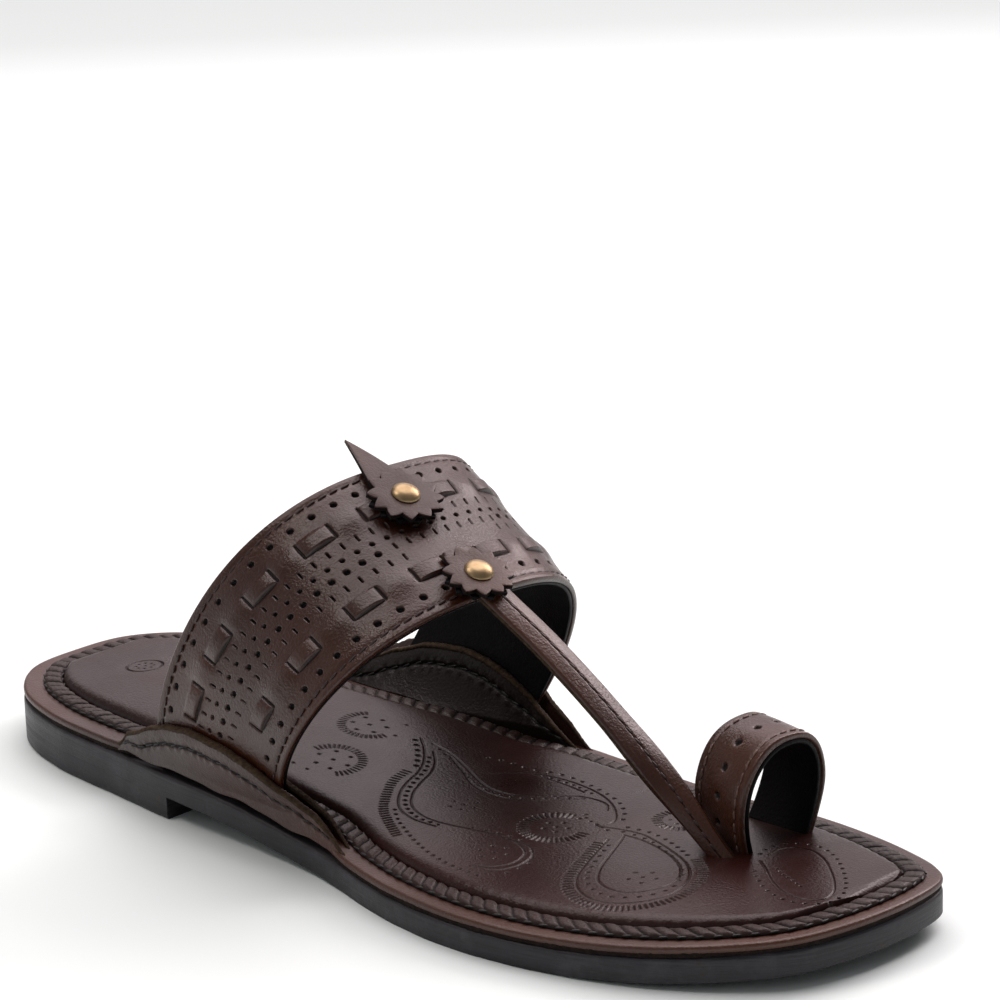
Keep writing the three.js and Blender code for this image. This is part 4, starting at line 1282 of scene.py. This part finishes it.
def build_flap(name, flap):
    """Outer and inner leather of one ear. Each is a wall that follows the band's side, hangs
    over the sole's edge, and gathers in small folds along its seam. Both ends sink into the
    sole's edge."""
    side, start, end = flap["side"], flap["start"], flap["end"]
    n, m = 320, 38
    x_line = np.linspace(start - 3, end + 6, n)
    x, h = np.meshgrid(x_line, np.linspace(0, 1, m), indexing="ij")
    held = smooth(x, start - 3, start + 16) * (1 - smooth(x, end - 24, end + 6))
    edge = sole_edge(side, x) - 0.1
    wave = lambda scale, seed: ripple(x_line, x_line * 0, scale, seed)
    ragged = 0.2 * wave(5, 21) + 0.1 * wave(1.8, 22)
    lift = 1.9 + 0.35 * wave(13, 23)
    ends = smooth(x_line, start - 3, start + 7) * (1 - smooth(x_line, end - 6, end + 6))
    crest = mix(top_sole_top(x_line) - 0.9, flap_top(flap, x_line), ends)
    # Lower edge, thickness and drop below the crest of each leather.
    outer_low, inner_low = outsole_top(x_line) + 0.1 + lift * ends, top_sole_top(x_line) + 0.05
    for part, low, full, drop in (("outer", outer_low, 1.75, 0.0), ("inner", inner_low, 1.4, 1.2)):
        out = 1 if part == "outer" else -1
        top = crest - drop * ends + ragged * ends
        low = np.minimum(low, top - 0.3)[:, None]
        top = top[:, None]
        z = mix(low, top, h)
        wide = band_side(side, x, z)
        if part == "outer":
            base = mix(edge - 1.6, np.maximum(edge - 1.7, wide + 0.25), held)
        else:
            base = mix(edge - 3.4, wide - 2.8, held)
        thick = full * (0.25 + 0.75 * held)
        below_top = top - z
        depth = FLAP_SEAM_DEPTH * held
        under_seam = np.exp(-((below_top - depth - 0.9) / 0.8) ** 2)
        over_seam = np.exp(-((below_top - depth + 0.9) / 0.7) ** 2)
        fold = np.sin(x * 2 * np.pi / FLAP_FOLD_PITCH + 1.8 * ripple(x, x * 0, 16, 31))
        fold = fold * (under_seam + 0.8 * over_seam)
        seam = np.exp(-((below_top - depth) / 0.42) ** 2)
        roll = np.exp(-((below_top - depth * 0.5) / 1.7) ** 2)
        broad = 0.16 * ripple(x, z * 0.4, 17, 33)
        relief = (0.16 * fold - 0.75 * seam + 0.35 * roll + broad) * held * smooth(h, 0, 0.12)
        face = base + (thick + relief - edge_roll(below_top, 0.6) * held) * out
        # Painted shade in the seam's groove and in the hollows of the folds.
        creases = np.clip((0.9 * seam + 0.12 * np.clip(-fold, 0, 1)) * held, 0, 1)
        marks = {"mark": np.r_[creases.ravel(), np.zeros(creases.size)]}
        points, faces = doubled(np.dstack([x, side * face, z]), np.dstack([x, side * base, z]))
        make_piece(f"{name}_{part}", points, faces, FLAP if part == "outer" else FLAP_LINING, "flap_leather",
                   [f"side_{name}"], marks=marks)

        rim_x, rim_t = np.meshgrid(x_line, np.linspace(0, 1, 9), indexing="ij")
        rim_low = np.maximum(top - 0.9, low)
        centre_y = mix(face[:, -4], base[:, -1], 0.5)[:, None]
        half = np.abs(face[:, -4] - base[:, -1])[:, None] / 2 + 0.12
        turn = rim_t * np.pi
        fuzz = 0.1 * ripple(rim_x * 3, rim_t * 9, 4, 41)
        rim_z = mix(rim_low, top + 0.12, np.sin(turn) ** 0.4) + fuzz * np.sin(turn)
        rim_outer = np.dstack([rim_x, side * (centre_y + half * np.cos(turn)), rim_z])
        inner_y = side * (centre_y + 0.2 * half * np.cos(turn))
        rim_inner = np.dstack([rim_x, inner_y, np.broadcast_to(rim_low, rim_x.shape)])
        make_piece(f"{name}_{part}_cut_edge", *doubled(rim_outer, rim_inner), EDGE_BROWN, "flap_leather",
                   [f"side_{name}"])

        seam_z = top[:, 0] - depth[:, 0]
        room = np.maximum(top[:, 0] - low[:, 0], 1e-3)
        row = np.clip((seam_z - low[:, 0]) / room, 0, 1) * (m - 1)
        lower = np.minimum(row.astype(int), m - 2)
        every = np.arange(n)
        face_at = mix(face[every, lower], face[every, lower + 1], row - lower)
        sewn = (seam_z > low[:, 0] + 0.9) & (held[:, 0] > 0.3)
        line = np.column_stack([x_line, side * face_at + 0.1 * side * out, seam_z])[sewn]
        normal = np.tile([0.0, float(side * out), 0.15], (len(line), 1))
        row = stitches(line, normal, 3.4, 0.35, 0.36, 0.1)
        stitch_piece(f"{name}_{part}_stitches", [row], THREAD_BLACK, "flap_leather")


# ---- rosettes, spike and rivets ------------------------------------------------------------

ROSETTES = [
    dict(place="back", angle=86.5, share=0.297, radius=9.8, stack=1.9),
    dict(place="front", angle=86.2, share=0.939, radius=9.0, stack=3.3),
]
POINTS_ROUND = 12
TOOTH_DEPTH = 0.22
# Rivet head from its middle underneath to the crown of its dome: radius, height.
RIVET_PROFILE = [
    (0, 0.0), (3.5, 0.0), (3.68, 0.2), (3.64, 0.45), (3.35, 0.85), (2.9, 1.22), (2.2, 1.6), (1.3, 1.86),
    (0.6, 1.95), (0.0, 1.97),
]


def rosette_frame(rosette):
    """Centre on the band, with the ways ahead, left and up off the surface as rows."""
    angle, share = np.array([math.radians(rosette["angle"])]), np.array([rosette["share"]])
    up = arch_normal(BAND_EDGES, angle, share)[0]
    back, front = (arch_place(BAND_EDGES, angle, np.array([end]))[0] for end in (0.0, 1.0))
    left = unit(np.cross(up, front - back))
    return arch_place(BAND_EDGES, angle, share)[0], np.stack([np.cross(left, up), left, up])


def star_layer(radius, low, thick, turn, curl, seed):
    """Pinked disc as rings of points: the rim is a zigzag, the disc sags to both sides like
    the band beneath it, is dished around its rivet, and single points curl up or down."""
    around, rings = POINTS_ROUND * 10, 14
    phi = np.arange(around) * 2 * np.pi / around
    tooth = np.abs(((phi * POINTS_ROUND / (2 * np.pi) + 0.5) % 1.0) - 0.5) * 2
    per_point = np.random.default_rng(seed).uniform(-1, 1, POINTS_ROUND)
    which = np.floor(phi * POINTS_ROUND / (2 * np.pi) + 0.5).astype(int) % POINTS_ROUND
    rim = radius * (1 - TOOTH_DEPTH * tooth) * (1 + 0.02 * per_point[which])
    r = np.linspace(0, 1, rings)[:, None] ** 0.8
    px = r * rim * np.cos(phi + turn)
    py = r * rim * np.sin(phi + turn)
    reach = np.hypot(px, py) / radius
    lifted = curl * per_point[which] * np.clip((reach - 0.72) / 0.28, 0, 1) ** 2 * (1 - tooth)
    sag = -0.008 * py ** 2 - 0.45 * np.exp(-(reach / 0.5) ** 2)
    top = low + thick + sag + lifted + 0.1 * ripple(px, py, 9, seed)
    bottom = low + sag + lifted
    top[-1] -= 0.12
    return np.concatenate([np.dstack([px, py, top]), np.dstack([px, py, bottom])[::-1]])


def build_rosettes():
    """Each rosette: a black backing star, the thick cut edge, the brown face, and a domed
    brass rivet head turned from a profile."""
    for k, rosette in enumerate(ROSETTES):
        place, r, low = rosette["place"], rosette["radius"], rosette["stack"]
        centre, basis = rosette_frame(rosette)
        half_tooth = math.pi / POINTS_ROUND
        layers = (("under", r * 0.97, low - 0.3, 0.9, half_tooth + 0.1, 0.2, 40 + k, LINING),
                  ("cut_edge", r * 1.004, low + 0.8, 1.05, 0.1, 0.35, 50 + k, EDGE_BLACK),
                  ("top", r, low + 1.75, 0.45, 0.1, 0.35, 50 + k, TRIM))
        for label, *shape, material in layers:
            grid = star_layer(*shape)
            faces = quads(*grid.shape[:2], wrap_columns=True)
            make_piece(f"rosette_{place}_{label}", centre + grid.reshape(-1, 3) @ basis, faces, material,
                       "trim_leather", [f"rosette_{place}"], sharp=35)
        profile = smooth_curve(RIVET_PROFILE, 4)
        turn = np.linspace(0, 2 * np.pi, 64, endpoint=False)
        height = np.broadcast_to(profile[:, 1:], (len(profile), 64)) + low + 1.75
        head = np.stack([profile[:, :1] * np.cos(turn), profile[:, :1] * np.sin(turn), height], -1)
        faces = quads(*head.shape[:2], wrap_columns=True)
        make_piece(f"rivet_{place}_head", centre + head.reshape(-1, 3) @ basis, faces, BRASS, "brass",
                   [f"rivet_{place}"])


SPIKE_LENGTH = 25.6
SPIKE_HALF_WIDTH = 6.4


def build_spike():
    """Pointed tab: nearly straight sides that meet at a tip which stands off the band, cupped
    a little, over a slightly wider layer that shows as its dark cut edge."""
    centre, basis = rosette_frame(ROSETTES[0])
    t = np.linspace(0, 1, 60)[:, None]
    s = np.linspace(-1, 1, 21)[None]
    along = mix(4.0, -SPIKE_LENGTH, t) + 0 * s
    half = np.minimum(SPIKE_HALF_WIDTH, 8.15 * (1 - t)) - 0.5 * np.exp(-((t - 0.22) / 0.1) ** 2) + 0.08
    drift = 1.1 * t ** 2
    lift = 0.3 + 0.5 * np.sin(np.pi * t) + 0.6 * t ** 2 + 0.35 * s ** 2 * smooth(t, 0.2, 0.6) * (1 - t)
    high = lift + 1.4 - 0.2 * np.abs(s) ** 8 - 0.7 * t ** 6
    for name, scale, fall, material in (
            ("spike_tab_leather", 1.0, 0.0, TRIM), ("spike_tab_cut_edge", 1.015, 0.35, EDGE_BLACK)):
        y = s * half * scale - drift
        points, faces = doubled(np.dstack([along, y, high - fall]), np.dstack([along, y, lift - fall * 0.2]))
        make_piece(name, centre + points @ basis, faces, material, "trim_leather", ["spike_tab"], sharp=40)


# ---- camera, light and floor ---------------------------------------------------------------

AZIMUTH, ELEVATION, ROLL = math.radians(43.83), math.radians(16.99), math.radians(-1.64)
CAMERA_AT = (746.1, -601.1, 344.3)
LENS = 130.2


def build_camera():
    """Camera that looks back along its azimuth and elevation, rolled a little."""
    flat = math.cos(ELEVATION)
    back = Vector((math.sin(AZIMUTH) * flat, -math.cos(AZIMUTH) * flat, math.sin(ELEVATION)))
    right = (-back).cross(Vector((0, 0, 1))).normalized()
    up = right.cross(-back)
    rolled_right = math.cos(ROLL) * right + math.sin(ROLL) * up
    rolled_up = -math.sin(ROLL) * right + math.cos(ROLL) * up
    data = bpy.data.cameras.new("camera")
    data.lens = LENS
    data.sensor_width = 36.0
    data.clip_start = 0.01
    data.clip_end = 20
    camera = bpy.data.objects.new("camera", data)
    turn = Matrix((rolled_right, rolled_up, back)).transposed().to_4x4()
    at = Vector((np.array(CAMERA_AT) + SHIFT) * MM)
    camera.matrix_world = Matrix.Translation(at) @ turn
    bpy.context.scene.collection.objects.link(camera)
    bpy.context.scene.camera = camera


# Soft panels in metres: name, place, point looked at, width and height, power, colour. Their
# gloss falls on the footbed, the thong, the band and the little-toe side.
PANELS = [
    ("back_soft", (-0.77, 0.71, 0.41), (-0.02, 0, 0.03), (1.1, 0.42), 1.45, (1, 0.86, 0.89)),
    ("thong_soft", (0.10, 0.88, 0.63), (0.05, 0, 0.05), (0.5, 0.52), 6.5, (1, 0.86, 0.86)),
    ("band_soft", (-0.43, -0.43, 0.98), (0, 0, 0.06), (0.36, 0.36), 2.4, (1, 0.88, 0.84)),
    ("left_soft", (-1.05, -0.6, 0.35), (0, 0, 0.03), (0.9, 0.5), 0.55, (1, 0.90, 0.92)),
    ("front_soft", (0.2, -1.2, 0.8), (0, 0, 0.03), (0.7, 0.5), 0.5, (1, 0.98, 1)),
]
FLOOR_REACH = 6.0


def soft_light(name, at, look, size, power, colour):
    """Rectangular panel that faces the point it looks at."""
    data = bpy.data.lights.new(name, "AREA")
    data.shape = "RECTANGLE"
    data.size, data.size_y = size
    data.energy = power
    data.color = colour
    lamp = bpy.data.objects.new(name, data)
    lamp.location = at
    lamp.rotation_euler = (Vector(look) - Vector(at)).to_track_quat("-Z", "Y").to_euler()
    bpy.context.scene.collection.objects.link(lamp)


def build_studio():
    """Pale floor, dim surroundings, a broad soft sun from behind and above, and soft panels."""
    corners = [(x * FLOOR_REACH, y * FLOOR_REACH, 0) for x, y in ((-1, -1), (1, -1), (1, 1), (-1, 1))]
    mesh = bpy.data.meshes.new("floor")
    mesh.from_pydata(corners, [], [(0, 1, 2, 3)])
    floor = bpy.data.objects.new("floor", mesh)
    bpy.context.scene.collection.objects.link(floor)
    material, _, shader, _ = finish_base("floor_white", roughness=0.9, specular=0.0)
    shader.inputs["Base Color"].default_value = (0.86, 0.965, 0.955, 1)
    mesh.materials.append(material)
    world = bpy.data.worlds.new("studio")
    bpy.context.scene.world = world
    world.use_nodes = True
    background = world.node_tree.nodes["Background"]
    background.inputs["Color"].default_value = (1.0, 0.94, 0.95, 1)
    background.inputs["Strength"].default_value = 0.19
    sun = bpy.data.lights.new("soft_sun", "SUN")
    sun.energy = 2.35
    sun.angle = math.radians(58)
    sun.color = (1.0, 0.88, 0.89)
    lamp = bpy.data.objects.new("soft_sun", sun)
    lamp.rotation_euler = Vector((-0.24, 0.36, 0.90)).to_track_quat("Z", "Y").to_euler()
    bpy.context.scene.collection.objects.link(lamp)
    for panel in PANELS:
        soft_light(*panel)
    view = bpy.context.scene.view_settings
    view.view_transform = "Standard"
    view.exposure = 0.0


build_camera()
build_studio()
build_sole()
build_top_sole()
build_braid()
build_footbed()
build_band()
build_toe_loop()
build_thong()
for flap_name, flap in FLAPS.items():
    build_flap(f"flap_{flap_name}", flap)
build_rosettes()
build_spike()
